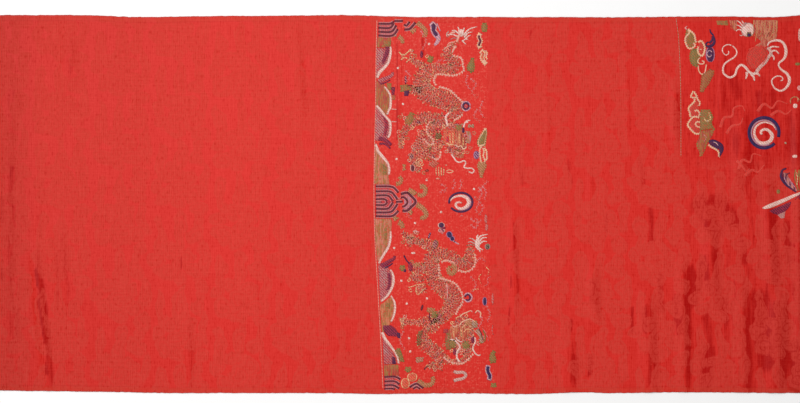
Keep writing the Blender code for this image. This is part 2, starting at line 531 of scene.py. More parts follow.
def ribs(tree, way, period_mm):
    """Sine of a place along the cloth with the given period."""
    turned = add(tree, "Math", (way, 2 * math.pi / (period_mm * MM)), operation="MULTIPLY")
    return add(tree, "Math", (turned,), operation="SINE")


def nearest_head(tree, place):
    """Distance from the figure's nearest cloud head, 1 at its rim, and the way to it in its own widths."""
    cloth = bpy.context.scene.brocade_cloth
    width, height = cloth.repeat_width, cloth.repeat_height
    # Half-drop repeat: every second column of the figure is moved up by half its height
    x, y = add(tree, "SeparateXYZ", (place,)).outputs[:2]
    column = add(tree, "Math", (x, width), operation="DIVIDE")
    column = add(tree, "Math", (column,), operation="FLOOR")
    odd = add(tree, "Math", (column, 2.0), operation="FLOORED_MODULO")
    own_x = add(tree, "Math", (column, -width, x), operation="MULTIPLY_ADD")
    own_y = add(tree, "Math", (odd, height / 2, y), operation="MULTIPLY_ADD")
    in_repeat = add(tree, "CombineXYZ", (own_x, own_y))
    heads = [tuple(v * MM for v in row) for row in CLOUD_FIGURE]
    past_right = [(a - width, b + height / 2, c, d) for a, b, c, d in heads if a + c > width]
    past_left = [(a + width, b + height / 2, c, d) for a, b, c, d in heads if a - c < 0]
    # Farther than any head
    far = 9.0
    nearest, way = far, (far, far, 0.0)
    for a, b, c, d in heads + past_right + past_left:
        limits = {1: (far, b + height / 2, far), 2: (-far, b - height / 2, -far)}
        wrapped = add(tree, "VectorMath", {0: in_repeat, **limits}, operation="WRAP")
        fitted = {"Vector": wrapped, "Location": (-a / c, -b / d, 0), "Scale": (1 / c, 1 / d, 0)}
        own = add(tree, "Mapping", fitted)
        distance = add(tree, "VectorMath", (own,), operation="LENGTH")
        closer = add(tree, "Math", (distance, nearest), operation="LESS_THAN")
        way = add(tree, "Mix", {0: closer, 4: way, 5: own}, data_type="VECTOR")
        nearest = add(tree, "Math", (distance, nearest), operation="MINIMUM")
    return nearest, way


def cloud_figure(tree, place):
    """Share of cloud: 1 inside the heads and tails, less on their scroll lines, with ragged edges."""
    # The laid cloth pulls the figure about by up to 17 mm each way, so that no two clouds look alike
    pull = add(tree, "TexNoise", {"Vector": place, "Scale": 26.0, "Detail": 1.0}).outputs["Color"]
    pulled = add(tree, "VectorMath", (pull, (0.034, 0.034, 0.0), place), operation="MULTIPLY_ADD")
    nearest, way = nearest_head(tree, pulled)
    # Well over one turn of a thin scroll line in each cloud head
    way_x, way_y = add(tree, "SeparateXYZ", (way,)).outputs[:2]
    angle = add(tree, "Math", (way_y, way_x), operation="ARCTAN2")
    swirl = add(tree, "Math", (nearest, 2.6 * math.pi, angle), operation="MULTIPLY_ADD")
    swirl = add(tree, "Math", (swirl,), operation="SINE")
    scroll_line = add(tree, "MapRange", (swirl, 0.62, 0.95, 1.0, 0.5), **SMOOTH)
    # Threads of two sizes make the edge ragged
    coarse, thin = threads(tree, place, 5.0, 11.0), threads(tree, place, 2.2, 4.5)
    ragged = add(tree, "Math", (thin, 0.5, coarse), operation="MULTIPLY_ADD")
    ragged = add(tree, "Math", (ragged, 0.55, nearest), operation="MULTIPLY_ADD")
    figure = add(tree, "MapRange", (ragged, 1.76, 1.55), **SMOOTH)
    figure = add(tree, "Math", (figure, scroll_line), operation="MULTIPLY")
    # Thin places in the cloud's own wefts
    thin = add(tree, "MapRange", (threads(tree, place, 2.6, 7.0), 0.34, 0.54, 0.62, 1.0), **SMOOTH)
    return add(tree, "Math", (figure, thin), operation="MULTIPLY")


def satin_colour(tree, place, figure, shade, plain, edge_mm):
    """Colour of the satin: ground and clouds, dark where the cloth tilts, with slits and a selvedge."""
    cloth = bpy.context.scene.brocade_cloth
    painted_shade_dye = tuple(cloth.painted_shade_dye)
    # Stray weft slits: short dark dashes across the loom, about 4 mm apart and 42 mm long; the same noise
    # frays the edges of the painted shade
    streak = threads(tree, place, 4.0, 42.0, 3.0)
    # Painted shade: the shade attribute, frayed by the slit noise; the slits darken the ground further
    jagged_shade = add(tree, "Math", (streak, 0.5), operation="SUBTRACT")
    jagged_shade = add(tree, "Math", (jagged_shade, 1.5, shade), operation="MULTIPLY_ADD")
    dark = add(tree, "MapRange", (jagged_shade, 0.15, 0.95), **SMOOTH)
    slits = add(tree, "MapRange", (streak, 0.66, 0.77, 0.0, 0.42), **SMOOTH)
    dark = add(tree, "Math", (dark, slits), operation="MAXIMUM")
    ground = add(tree, "Mix", {0: plain, 6: tuple(cloth.ground), 7: tuple(cloth.band)}, **COLOURS)
    # Ends of floats that were cut and show as pale specks in the band, 3.4 mm apart
    cut = add(tree, "TexNoise", {"Vector": place, "Scale": 1 / (3.4 * MM), "Detail": 1.5})
    cut = add(tree, "MapRange", (cut, 0.52, 0.72, 0.0, 0.36), **SMOOTH)
    cut = add(tree, "Math", (cut, plain), operation="MULTIPLY")
    ground = add(tree, "Mix", {0: cut, 6: ground, 7: linear("#E2705E")}, **COLOURS)
    ground = add(tree, "Mix", {0: dark, 6: ground, 7: painted_shade_dye}, **COLOURS)
    # The clouds take only 0.16 of the painted shade where the ground turns dark
    cloud_shade = add(tree, "Math", (dark, 0.16), operation="MULTIPLY")
    clouds = add(tree, "Mix", {0: cloud_shade, 6: tuple(cloth.cloud), 7: painted_shade_dye}, **COLOURS)
    colour = add(tree, "Mix", {0: figure, 6: ground, 7: clouds}, **COLOURS)
    # The selvedge is 8 to 9 mm wide, with a faint line beside it; the dark outer edge is a painted shadow
    # along the cloth's rim
    strip = add(tree, "MapRange", (edge_mm, 8.0, 9.2, 1.0, 0.0), **SMOOTH)
    strip = add(tree, "Math", (strip, 0.25), operation="MULTIPLY")
    colour = add(tree, "Mix", {0: strip, 6: colour, 7: tuple(cloth.selvedge)}, **COLOURS)
    # Painted shadow along the cloth's outer edge, 1.6 mm wide, and the selvedge's faint line, both in one
    # dark red
    outer = add(tree, "MapRange", (edge_mm, 0.0, 1.6, 0.6, 0.0), **SMOOTH)
    line_from = add(tree, "MapRange", (edge_mm, 8.6, 9.4), **SMOOTH)
    line_to = add(tree, "MapRange", (edge_mm, 11.0, 10.2), **SMOOTH)
    line = add(tree, "Math", (line_from, line_to), operation="MULTIPLY")
    line = add(tree, "Math", (line, 0.1), operation="MULTIPLY")
    edge_shadow_and_line = add(tree, "Math", (outer, line), operation="MAXIMUM")
    return add(tree, "Mix", {0: edge_shadow_and_line, 6: colour, 7: linear("#7E1612")}, **COLOURS)


def figured_satin():
    """Silk satin damask, piece dyed: warp satin ground against weft satin clouds.

    The ground is smooth and turns dark where it tilts, and the clouds stay matt and light, so the
    figure shows only by its sheen.
    """
    material, tree, shader, place = new_material("silk_satin_damask")
    shade, painted_light, plain, bare, edge_mm = (
        add(tree, "Attribute", attribute_name=name).outputs["Fac"]
        for name in ("shade", "painted_light", "band", "bare", "edge_mm")
    )
    clothed = add(tree, "Math", (1.0, bare), operation="SUBTRACT")
    figure = add(tree, "Math", (cloud_figure(tree, place), clothed), operation="MULTIPLY")
    colour = satin_colour(tree, place, figure, shade, plain, edge_mm)

    # Weft ribs are really about 0.1 mm apart; they are drawn 3.6 mm apart so that they show
    rib = ribs(tree, add(tree, "SeparateXYZ", (place,)), 3.6)
    # Brightness starts from the painted light along the cloth
    bright = add(tree, "Math", (rib, 0.02, painted_light), operation="MULTIPLY_ADD")
    # Uneven wefts, the grain between them, and warps that lie closer and draw faint bars along the cloth
    fine = threads(tree, place, 1.7, 40.0)
    grain = threads(tree, place, 7.0, 3.0)
    bars = threads(tree, place, 60.0, 2.4)
    for noise, depth in ((fine, 0.22), (grain, 0.16), (bars, 0.13)):
        uneven = add(tree, "Math", (noise, 0.5), operation="SUBTRACT")
        bright = add(tree, "Math", (uneven, depth, bright), operation="MULTIPLY_ADD")
    # Knots and fluff of the raw silk: short dashes of one thread
    knots = add(tree, "MapRange", (threads(tree, place, 1.9, 8.5, 0.0), 0.58, 0.8, 0.0, 0.12), **SMOOTH)
    bright = add(tree, "Math", (bright, knots), operation="SUBTRACT")
    colour = add(tree, "VectorMath", {0: colour, "Scale": bright}, operation="SCALE")
    # A thread that catches the light gains more in green and blue than in red
    sheen = add(tree, "Math", (bright, painted_light), operation="SUBTRACT")
    colour = add(tree, "VectorMath", (sheen, (0.0, 0.085, 0.075), colour), operation="MULTIPLY_ADD")

    # The matt clouds are rougher than the ground, and stand a little higher
    rough = add(tree, "MapRange", (figure, 0.0, 1.0, 0.42, 0.62), **SMOOTH)
    height = add(tree, "Math", (rib, 0.12, fine), operation="MULTIPLY_ADD")
    height = add(tree, "Math", (figure, 0.35, height), operation="MULTIPLY_ADD")
    bump = add(tree, "Bump", {"Height": height, "Distance": 0.12 * MM, "Strength": 0.5})
    plug(tree, shader, {"Base Color": colour, "Roughness": rough, "Normal": bump})
    plug(tree, shader, {"Specular IOR Level": 0.14, "IOR": 1.45})
    return material


def brocading_silk():
    """Untwisted floss silk, brocaded in long weft floats: a soft sheen, with threads across the loom."""
    known = bpy.data.materials.get("floss_silk_floats")
    if known:
        return known
    material, tree, shader, place = new_material("floss_silk_floats")
    x, y = add(tree, "SeparateXYZ", (place,)).outputs[:2]
    own = add(tree, "Attribute", attribute_name="dye").outputs
    second = add(tree, "Attribute", attribute_name="second_dye").outputs
    # Two wefts tied in a slanting twill, 4.8 mm a step; real steps of 1 mm wouldn't show
    slant = add(tree, "Math", (x, y), operation="ADD")
    slant = add(tree, "Math", (slant, 2 * math.pi / (4.8 * MM)), operation="MULTIPLY")
    slant = add(tree, "Math", (threads(tree, place, 3.0, 5.0), 7.0, slant), operation="MULTIPLY_ADD")
    slant = add(tree, "Math", (slant,), operation="SINE")
    twill = add(tree, "MapRange", (slant, -0.2, 0.5), **SMOOTH)
    twill = add(tree, "Math", (twill, second["Alpha"]), operation="MULTIPLY")
    streak = add(tree, "MapRange", (threads(tree, place, 3.2, 18.0), 0.44, 0.58), **SMOOTH)
    streaky = add(tree, "Math", (1.0, second["Alpha"]), operation="SUBTRACT")
    streak = add(tree, "Math", (streak, streaky), operation="MULTIPLY")
    crossed = add(tree, "Math", (twill, streak), operation="ADD")
    colour = add(tree, "Mix", {0: crossed, 6: own["Color"], 7: second["Color"]}, **COLOURS)
    # Worn and missing floats show the red ground in specks of a few threads, 2.3 mm apart
    speck = add(tree, "TexNoise", {"Vector": place, "Scale": 1 / (2.3 * MM), "Detail": 1.0})
    speck = add(tree, "MapRange", (speck, 0.5, 0.66, 0.14, 0.6), **SMOOTH)
    bare = add(tree, "Math", (speck, own["Alpha"]), operation="MULTIPLY")
    ground = tuple(bpy.context.scene.brocade_cloth.ground)
    colour = add(tree, "Mix", {0: bare, 6: colour, 7: ground}, **COLOURS)
    # Floats are really about 0.3 mm apart; they are drawn 3.5 mm apart so that they show
    float_line = ribs(tree, x, 3.5)
    bright = add(tree, "Math", (float_line, 0.07, 0.97), operation="MULTIPLY_ADD")
    worn = add(tree, "Math", (threads(tree, place, 1.8, 7.0), 0.5), operation="SUBTRACT")
    bright = add(tree, "Math", (worn, 0.8, bright), operation="MULTIPLY_ADD")
    colour = add(tree, "VectorMath", {0: colour, "Scale": bright}, operation="SCALE")
    bump = add(tree, "Bump", {"Height": float_line, "Distance": 0.1 * MM, "Strength": 0.5})
    plug(tree, shader, {"Base Color": colour, "Normal": bump, "Roughness": 0.5, "Specular IOR Level": 0.2})
    return material


def surface_paint():
    """Matt pale paint, rolled: an even surface with next to no gloss."""
    material, tree, shader, place = new_material("matt_rolled_paint")
    mottle = add(tree, "TexNoise", {"Vector": place, "Scale": 40.0, "Detail": 3.0})
    mottle = add(tree, "MapRange", (mottle, 0.3, 0.7, 0.0, 0.03), **SMOOTH)
    pale = tuple(bpy.context.scene.brocade_stage.surface)
    colour = add(tree, "Mix", {0: mottle, 6: pale, 7: linear("#E8E6E4")}, **COLOURS)
    plug(tree, shader, {"Base Color": colour, "Roughness": 0.9, "Specular IOR Level": 0.1})
    return material


# The cloth


def cloth_shade(column, row, slope):
    """Share of dark ground, and share without clouds.

    It is dark by 2.4 times the slope down towards +X, by up to 0.3 more towards the lower right, and in
    each streak by its depth times 1.1 - (distance / 1.3 half width) squared. A streak deeper than 1 has
    no clouds in its middle.
    """
    lower_right = np.interp(column, (600, 720), (0, 1)) * np.interp(row, (60, 220), (0.4, 1))
    shade = np.clip(-slope * 2.4, 0, 1) + 0.3 * lower_right
    streaks = np.zeros(shade.shape)
    for c0, r0, c1, r1, half, depth in PAINTED_SHADE_STREAKS:
        share = ((column - c0) * (c1 - c0) + (row - r0) * (r1 - r0)) / ((c1 - c0) ** 2 + (r1 - r0) ** 2)
        share = np.clip(share, 0, 1)
        far = np.hypot(column - c0 - share * (c1 - c0), row - r0 - share * (r1 - r0))
        streaks = np.maximum(streaks, depth * np.clip(1.1 - (far / (1.3 * half)) ** 2, 0, 1))
    return np.maximum(shade, np.minimum(streaks, 1)), np.clip((streaks - 1) / 0.15, 0, 1)


def make_cloth():
    """The cloth as a closed net: upper and lower faces over the same folds, and a rim between them."""
    cloth = bpy.context.scene.brocade_cloth
    columns, rows = cloth.columns, cloth.rows
    half = cloth.panel_length / 2 / MM
    x = np.linspace(-half, half, columns + 1)[:, None]
    low = -cloth.loom_width / 2 / MM + edge_rise(LOWER_SELVEDGE, x)
    high = cloth.loom_width / 2 / MM + edge_rise(UPPER_SELVEDGE, x)
    pick = np.random.default_rng(11)
    for edge in (low, high):
        edge += np.convolve(pick.normal(0, FRAY, len(x)), (0.25, 0.5, 0.25), "same")[:, None]
    share = np.linspace(0, 1, rows + 1)[None, :]
    y = low + (high - low) * share
    x = np.broadcast_to(x, y.shape)
    height = relief(x, y)
    top = np.stack([x, y, height + cloth.thickness / MM], -1).reshape(-1, 3)
    bottom = np.stack([x, y, height], -1).reshape(-1, 3)
    net = np.arange(len(top)).reshape(columns + 1, rows + 1)
    loop = np.concatenate([net[:, 0], net[-1, 1:], net[-2::-1, -1], net[0, -2:0:-1]])
    after = np.roll(loop, -1)
    rim = np.stack([loop + len(top), after + len(top), after, loop], -1)
    faces = np.vstack([quads(net), quads(net)[:, ::-1] + len(top), rim])
    mesh = bpy.data.meshes.new("silk_cloth")
    mesh.from_pydata(np.concatenate([top, bottom]) * MM, [], faces)
    column = (x - PAPER_CORNER[0] / MM) / (CHECK / MM)
    row = (PAPER_CORNER[1] / MM - y) / (CHECK / MM)
    slope = np.gradient(height, axis=0) / (2 * half / columns)
    border_columns, border_rows = zip(*BORDER_LINE)
    left = np.interp(row, border_rows, border_columns)
    band = np.clip((column - left) / 2, 0, 1) * np.clip((left + BAND_WIDTH - column) / 3, 0, 1)
    corner = np.clip((column - CORNER_LEFT) / 4, 0, 1) * np.clip((CORNER_LAST_ROW - row) / 16, 0, 1)
    shade, cloudless_shade = cloth_shade(column, row, slope)
    layers = {
        # The figured corner gets 0.2 more painted shade
        "shade": shade + 0.2 * corner,
        # Painted light: brighter along the middle of the cloth, and up to 3 % darker towards the selvedges
        "painted_light": np.interp(column, *zip(*PAINTED_LIGHT_FALLOFF)) * (1 - 0.03 * ((row - 190) / 190) ** 2),
        "band": band,
        # No cloud figure in the band, in the corner, nor in the middle of the deepest streaks of painted
        # shade
        "bare": np.maximum(np.maximum(band, corner), cloudless_shade),
        "edge_mm": np.minimum(high - y, y - low),
    }
    for label, values in layers.items():
        layer = mesh.attributes.new(label, "FLOAT", "POINT")
        layer.data.foreach_set("value", np.tile(values.ravel(), 2).astype(np.float32))
    mesh.shade_smooth()
    mesh.set_sharp_from_angle(angle=math.radians(50))
    mesh.materials.append(figured_satin())
    piece = placed("silk_cloth", mesh)
    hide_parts("cloth_panel")
    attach(piece, "root")


# Charts


def drawn(table, lift=0.38, wider=1.0, bumpy=False):
    """Rows for woven from lines: dye, second dye, then each line's first and last half width and points.

    Each line lies 0.01 mm above the one before it.
    """
    shapes = []
    lines = [(colour, cross, *line) for colour, cross, *group in table for line in group]
    for k, (colour, cross, start, end, points) in enumerate(lines):
        net_lines = 4 if max(start, end) < 0.85 else 5
        line = stroke(points, start * wider, end * wider, 1.4, net_lines)
        shapes += laid(line, colour, cross, lift + 0.01 * k, bumpy)
    return shapes


def spots(table, lift=0.4, bumpy=False):
    """Rows for woven from ovals: dye, second dye, edge dye, column, row, half width, half height, turn."""
    shapes = []
    for k, (colour, cross, edge, *place) in enumerate(table):
        own = lift + 0.01 * k
        if edge:
            shapes += outlined(lobe(*place), colour, edge, 0.75, cross, own)
        else:
            shapes += laid(lobe(*place), colour, cross, own, bumpy)
    return shapes


def fields(table, lift=0.24, step=1.8, bumpy=False):
    """Rows for woven from ruled faces: dye, second dye, left side, right side."""
    shapes = []
    for k, (colour, cross, left, right) in enumerate(table):
        shapes += laid(patch(left, right, step), colour, cross, lift + 0.01 * k, bumpy)
    return shapes


# The band's left edge: column and row
BORDER_LINE = (
    (377, 19.5), (376, 60), (375.5, 110), (374.5, 150), (374, 200), (375, 240), (377, 275), (379, 310),
    (381, 345), (383, 389),
)
# Foam crests of the wave hills: column, row, half width
FOAM = (
    ((390.6, 45.9, 1), (390.9, 51.4, 1.5), (390, 57.5, 1.7), (388.2, 62.9, 1.8), (384.5, 67.7, 1.9),
     (379.7, 72.5, 2.2), (377.2, 78.5, 1.4)),
    ((383.9, 85.9, 0.6), (387.6, 90.2, 1.2), (390.3, 95, 1.4), (390.9, 101.7, 1.6), (390.4, 107.5, 1.6),
     (389.1, 110.2, 1.4), (386.9, 115.3, 1.1)),
    ((376.4, 105.1, 1.4), (380.2, 109.6, 1.7), (385.3, 115.9, 1.5), (389.8, 121, 1.6), (390.7, 127.4, 1.6),
     (389.8, 134.4, 1.5), (387.9, 138.3, 1.2)),
    ((375.7, 143.4, 1.2), (378.3, 151, 2), (383.4, 157.4, 1.9), (387.9, 163.1, 1.6), (389.5, 169.5, 1.4),
     (388.8, 175.3, 1.2)),
    ((390.7, 230.5, 0.9), (390.7, 238.2, 1.4), (388.6, 246.7, 1.6), (384, 254.4, 1.7), (380.2, 260.7, 1.5),
     (379.1, 264.2, 0.8)),
    ((390.4, 269.1, 1), (393.2, 274.7, 1.4), (393.5, 281.8, 1.7), (392, 287.9, 1.6), (388, 295.1, 1.4),
     (384.4, 298.7, 1.3), (380.8, 301.6, 1.2)),
    ((390.9, 295.1, 0.7), (394.5, 301.6, 1.2), (395.2, 308.8, 1.4), (393.8, 316, 1.3), (390.9, 322.5, 1)),
    ((382.2, 331.6, 1.8), (385.1, 338.4, 2), (389.5, 344.1, 1.6), (393.8, 349.9, 1.4), (397.4, 356.4, 1.3),
     (399, 364, 1)),
)
# Swirls between the hills, as lines
SWIRLS = (
    ("magenta", "mauve", (2.6, 1.3, ((378, 82), (383, 79.6), (388, 77.6), (392.2, 75), (392.8, 71.8)))),
    ("plum", "magenta", (0.9, 0.7, ((379.6, 84.4), (385.6, 82.4), (390.6, 80)))),
    ("magenta", "plum", (2.6, 1.7, ((377.6, 138.4), (382, 139), (387, 141.4), (391.6, 145.4)))),
    ("plum", "magenta", (1.3, 0.9, ((379, 143.8), (385, 144), (390.6, 148.8)))),
    ("magenta", "plum",
     (2.9, 1.3, ((380.4, 266.4), (385, 264.2), (389.6, 261.2), (393.8, 258.6), (395, 255.4)))),
    ("plum", "navy", (0.9, 0.8, ((383.6, 268.6), (388.6, 266), (393, 263)))),
)
# Wave hills: dye, second dye, left side, right side; a second dye marked ~ lies in streaks
HILLS = (
    ("mauve", "magenta", ((376, 47.5), (375.8, 78.5)),
     ((389, 47.5), (389.5, 54.5), (388, 62.5), (384, 68.5), (379, 73.5), (376.5, 78.5))),
    ("olive", "~rust", ((376.5, 37.5), (376, 47.5)), ((391, 37.5), (391.5, 42.5), (390, 47.5))),
    ("olive", "~rust", ((375.7, 80), (375.5, 94.5), (376.5, 105.5), (381, 110.5), (385.5, 115.5)),
     ((384, 84), (389, 92.5), (390, 100.5), (389.5, 108.5), (387, 114.5))),
    ("mauve", "magenta", ((375.5, 107.5), (375, 124.5), (375, 141)),
     ((377, 107.5), (384.5, 116.5), (389, 122.5), (389.7, 129.5), (388.5, 136.5), (386, 142))),
    ("tan", "~olive", ((375, 144.5), (374.5, 164.5), (374, 185)),
     ((377, 146.5), (382.5, 157.5), (387, 164.5), (388.5, 171.5), (389, 178.5), (390, 185))),
    ("tan", "~olive", ((374.5, 218), (375.2, 239.5), (377.5, 261.5)),
     ((391.5, 218), (392, 226.5), (390, 238.5), (387.5, 246.5), (383, 254.5), (379, 261.5))),
    ("mauve", "magenta", ((378, 264), (379, 284.5), (380, 300.5)),
     ((388, 266), (392, 275.5), (392.5, 283.5), (390, 291.5), (385.5, 297.5), (381, 300.5))),
    ("olive", "~orange", ((389, 297.5), (384, 302.5), (380, 305.5), (380.5, 314.5), (382, 332)),
     ((391, 296.5), (393.5, 302.5), (394, 309.5), (392.5, 316.5), (387, 332))),
    ("mauve", "magenta", ((382.5, 336), (383, 349.5), (383.7, 364.5)),
     ((385, 338), (389, 346.5), (393, 352.5), (396, 358.5), (397, 364.5))),
    ("olive", "~rust", ((383.7, 364.5), (384, 376)), ((398.5, 364.5), (399.5, 376))),
)
# Patches and hatching laid over the hills
HILL_HATCHES = (
    ("grey", "magenta", ((376.6, 49), (376.8, 68)), ((384.4, 49), (384, 60), (380, 68.6))),
    ("grey", "magenta", ((375.8, 118), (375.6, 137)), ((381, 119), (385, 127), (383, 137))),
    ("grey", "magenta", ((379.6, 268), (380.6, 288)), ((385.6, 268), (388, 276), (385, 288))),
    ("grey", "magenta", ((383.6, 346), (384.2, 355)), ((386.8, 347), (389, 354))),
    ("plum", "magenta", ((385, 46), (385.5, 50), (383, 57), (381, 62)),
     ((389.5, 46), (389.4, 52), (386, 60), (383, 65))),
    ("magenta", "plum", ((382, 114), (384.5, 124), (383, 136)), ((385.5, 117), (388, 125), (386, 137))),
    ("green", "olive", ((386.6, 83), (387.5, 90)), ((391.6, 83), (391.4, 90))),
    ("green", "olive", ((384, 40.7), (384, 46)), ((391.4, 40.7), (391, 46))),
    ("plum", "magenta", ((391.2, 87), (391.6, 95)), ((395.4, 87), (394.4, 95))),
    ("olive", "rust", ((391.9, 95), (392, 100)), ((395.7, 95), (395, 100))),
    ("green", "olive", ((382, 163), (382.5, 175)), ((387, 167), (387, 175))),
    ("green", "olive", ((384, 228), (384, 240)), ((387, 228), (387, 240))),
    ("plum", "magenta", ((387.5, 272), (388, 285), (385, 291)), ((390.5, 273), (391, 284), (388.5, 290))),
    ("green", "olive", ((385, 303), (386, 308)), ((390.5, 303), (390, 309))),
    ("plum", "magenta", ((382.8, 325), (383, 330), (388, 336)), ((391, 325), (396, 329), (400.5, 337))),
    ("navy", "plum", ((396.6, 332), (397.5, 338)), ((400.2, 333), (400.5, 338.5))),
    ("plum", "navy", ((392, 356), (392, 364)), ((395.4, 357.5), (396, 364))),
    ("green", "olive", ((396.4, 348), (398.5, 355), (400.5, 362)),
     ((399.5, 348), (402.5, 355), (403.5, 361.5))),
)
# Pink ground between the rock stripes: dye, second dye, left side, right side
ROCK_FIELDS = (
    ("magenta", "flame", ((375.8, 187), (375.4, 217)),
     ((389, 187), (393, 192), (394.5, 201.8), (392.5, 212), (389.5, 217))),
    ("mauve", "lilac", ((402, 196), (404, 202), (402.5, 208)),
     ((407.5, 194.5), (412.6, 201.8), (407.5, 209.5))),
    ("magenta", "flame", ((378, 23.4), (378, 36)), ((390, 23), (393, 26), (391, 36))),
    ("magenta", "flame", ((384, 377), (384.4, 389)), ((395, 377), (395, 389))),
)
# Rock stripes, dark over a pale edge: half width and points
ROCKS = (
    (1.0, ((375.3, 186.3), (391, 186.6), (396, 190), (398.5, 193))),
    (1.0, ((375.3, 191.3), (390, 191.6), (395, 196), (397.5, 200))),
    (1.0, ((375.3, 195.4), (387, 195.4), (391, 198.6), (393.2, 201.8))),
    (0.95, ((375.3, 199.1), (384.4, 199.1), (387.4, 201.8))),
    (0.5, ((375.3, 202), (382.5, 202))), (0.95, ((375.3, 204.9), (384.4, 204.9), (387.4, 201.8))),
    (1.0, ((375.3, 208.7), (387, 208.7), (391, 205.2), (393.2, 201.8))),
    (1.0, ((375.3, 212.4), (390, 212), (395, 207.6), (397.5, 203.5))),
    (1.0, ((375.3, 216.1), (391, 216.1), (396, 213.2), (398.5, 210.4))),
    (1.2, ((400.5, 194), (407, 192.8), (411, 196), (415.5, 201.8), (411, 207), (407, 210.5), (402, 210.5))),
    (1.0, ((400.5, 197.5), (404.5, 197.5), (407.5, 202), (404.5, 206), (402, 206.5))),
    (0.9, ((395.5, 201.8), (403, 201.5))),
    (1.0, ((378, 23.7), (390, 23.7), (394, 21.4))), (1.0, ((378, 27.8), (389.9, 27.8), (394, 22.6))),
    (1.0, ((378, 31.7), (391, 31.7), (396.4, 25.2))), (1.0, ((378, 35.5), (392, 35.5), (398, 29))),
    (0.9, ((394, 21), (403.2, 21))), (1.1, ((404, 29.5), (409.8, 28.7), (415.6, 22.4))),
    (0.9, ((404, 24.1), (406.5, 25.8), (409.8, 21.6))),
    (0.9, ((384, 376.9), (395, 376.6), (400.6, 379.4))),
    (0.9, ((384, 381.4), (394, 381.2), (399.6, 384.4))),
    (0.9, ((384, 385.3), (393, 385.1), (399.4, 388.4))), (0.8, ((384, 388.6), (392, 388.4), (395, 389.4))),
    (0.9, ((409.6, 387.2), (413, 385), (416.5, 383.6), (420, 385.6), (423.6, 388.2))),
    (0.8, ((413, 388.8), (416.5, 386.8), (420, 388.9))),
)
# Pale tufts scattered over the band: column and row
CREAM_DOTS = (
    (398, 68), (403, 104), (396.5, 159), (426.5, 180), (415, 223), (394.2, 247.9), (401.4, 280.7),
    (427, 298.4), (406.8, 303.6),
    (409, 338.2), (410.2, 351.4), (429, 44), (467, 122), (441, 212), (474, 189),
)
# Olive hooks between the rocks and the dragons, as lines
HOOKS = (
    ("olive", "tan", (1.8, 1.2, ((417, 22.5), (421, 26), (425, 30), (425.5, 34), (424, 37))),
     (1.5, 1.2, ((411, 32.6), (413.6, 30.4), (416.4, 30)))),
    ("grey", "olive", (1.5, 1.2, ((391.6, 36.6), (394, 34.8), (396.5, 36.4)))),
    ("olive", "tan", (1.7, 1.0, ((398.4, 36.5), (402, 39.4), (402.6, 44))),
     (2.0, 1.7, ((408, 190), (412, 191.5), (416, 194.5))),
     (1.8, 1.2, ((419.5, 186.5), (423.5, 186.5), (425.5, 189.5), (424.5, 194), (421, 195.5), (417, 194))),
     (2.0, 1.3,
      ((416.4, 204.5), (419.8, 206.2), (423.1, 208.7), (425.6, 212), (426.4, 215.3), (423.1, 217.8),
       (419.8, 217))), (1.6, 1.4, ((409, 213.8), (411, 212.2), (413, 212.6))),
     (1.4, 1.0, ((395.7, 184), (400, 183), (401.4, 179), (399, 176.5))),
     (1.7, 1.3, ((393.2, 219.6), (395.4, 218.4), (397.4, 219.6))),
     (2.0, 1.3, ((398.2, 222), (401.4, 223.8), (402.6, 227.7))),
     (1.7, 1.2, ((417.4, 380.4), (425.4, 385), (431.3, 384), (433.4, 379.4), (431.8, 376.4))),
     (1.8, 1.4,
      ((451, 264.8), (454, 266.6), (455, 270), (452.6, 273.4), (449.2, 272.8), (448.6, 268.6),
       (451, 267.4)))),
)
# Fruit and leaves beside the hooks, as ovals
HOOK_SPOTS = (
    ("foam", "white", None, 413.2, 253, 2.3, 1.1), ("olive", "green", None, 408.1, 369.3, 2.6, 2.4),
    ("scarlet", "orange", "cream", 405.4, 383.3, 4.0, 5.2),
    ("scarlet", "orange", "cream", 412.2, 377, 4.7, 4.3),
)


def make_border():
    """The two straight guide lines beside the figured parts."""
    guide = ((676, 18), (678.8, 42.7), (680.6, 89), (680.9, 157))
    lines = (("blush", "mauve", (0.36, 0.36, BORDER_LINE)), ("olive", "grey", (0.28, 0.28, guide)))
    woven("guide_lines", drawn(lines, 0.2))


def make_waves():
    """Wave hills, their hatching, foam crests and the striped rocks between them."""
    shapes = fields(HILLS, 0.18, 2.2) + fields(HILL_HATCHES, 0.28, 1.6) + fields(ROCK_FIELDS, 0.12, 2.2)
    for half, path in ROCKS:
        shapes += laid(stroke(path, half + 0.85, half + 0.85, 1.6), "pink", "grey", 0.2)
    shapes += drawn([("plum", "maroon", (half + 0.2, half + 0.2, path)) for half, path in ROCKS], 0.3)
    shapes += drawn(SWIRLS, 0.32)
    for crest in FOAM:
        places = ribbon([(a, b, 0.71 * c) for a, b, c in crest], 1.6)
        teeth = places[0][1:-1, (0, -1)].reshape(-1, 2)[::2]
        shapes += laid(places, "foam", "white", 0.42) + laid(dots(teeth, 0.62), "foam", "grey", 0.36)
    dashes = [("foam", None, (0.5, 0.4, ((391, row), (397, row + 0.4)))) for row in (109, 121.5)]
    shapes += drawn(dashes, 0.3)
    woven("wave_band", shapes)


def make_curls():
    """Olive hooks, orange fruit and cream dots scattered over the band."""
    shapes = drawn(HOOKS, bumpy=True) + spots(HOOK_SPOTS, bumpy=True)
    woven("band_curls", shapes + laid(dots(CREAM_DOTS, 1.15), "foam", "white", 0.35))


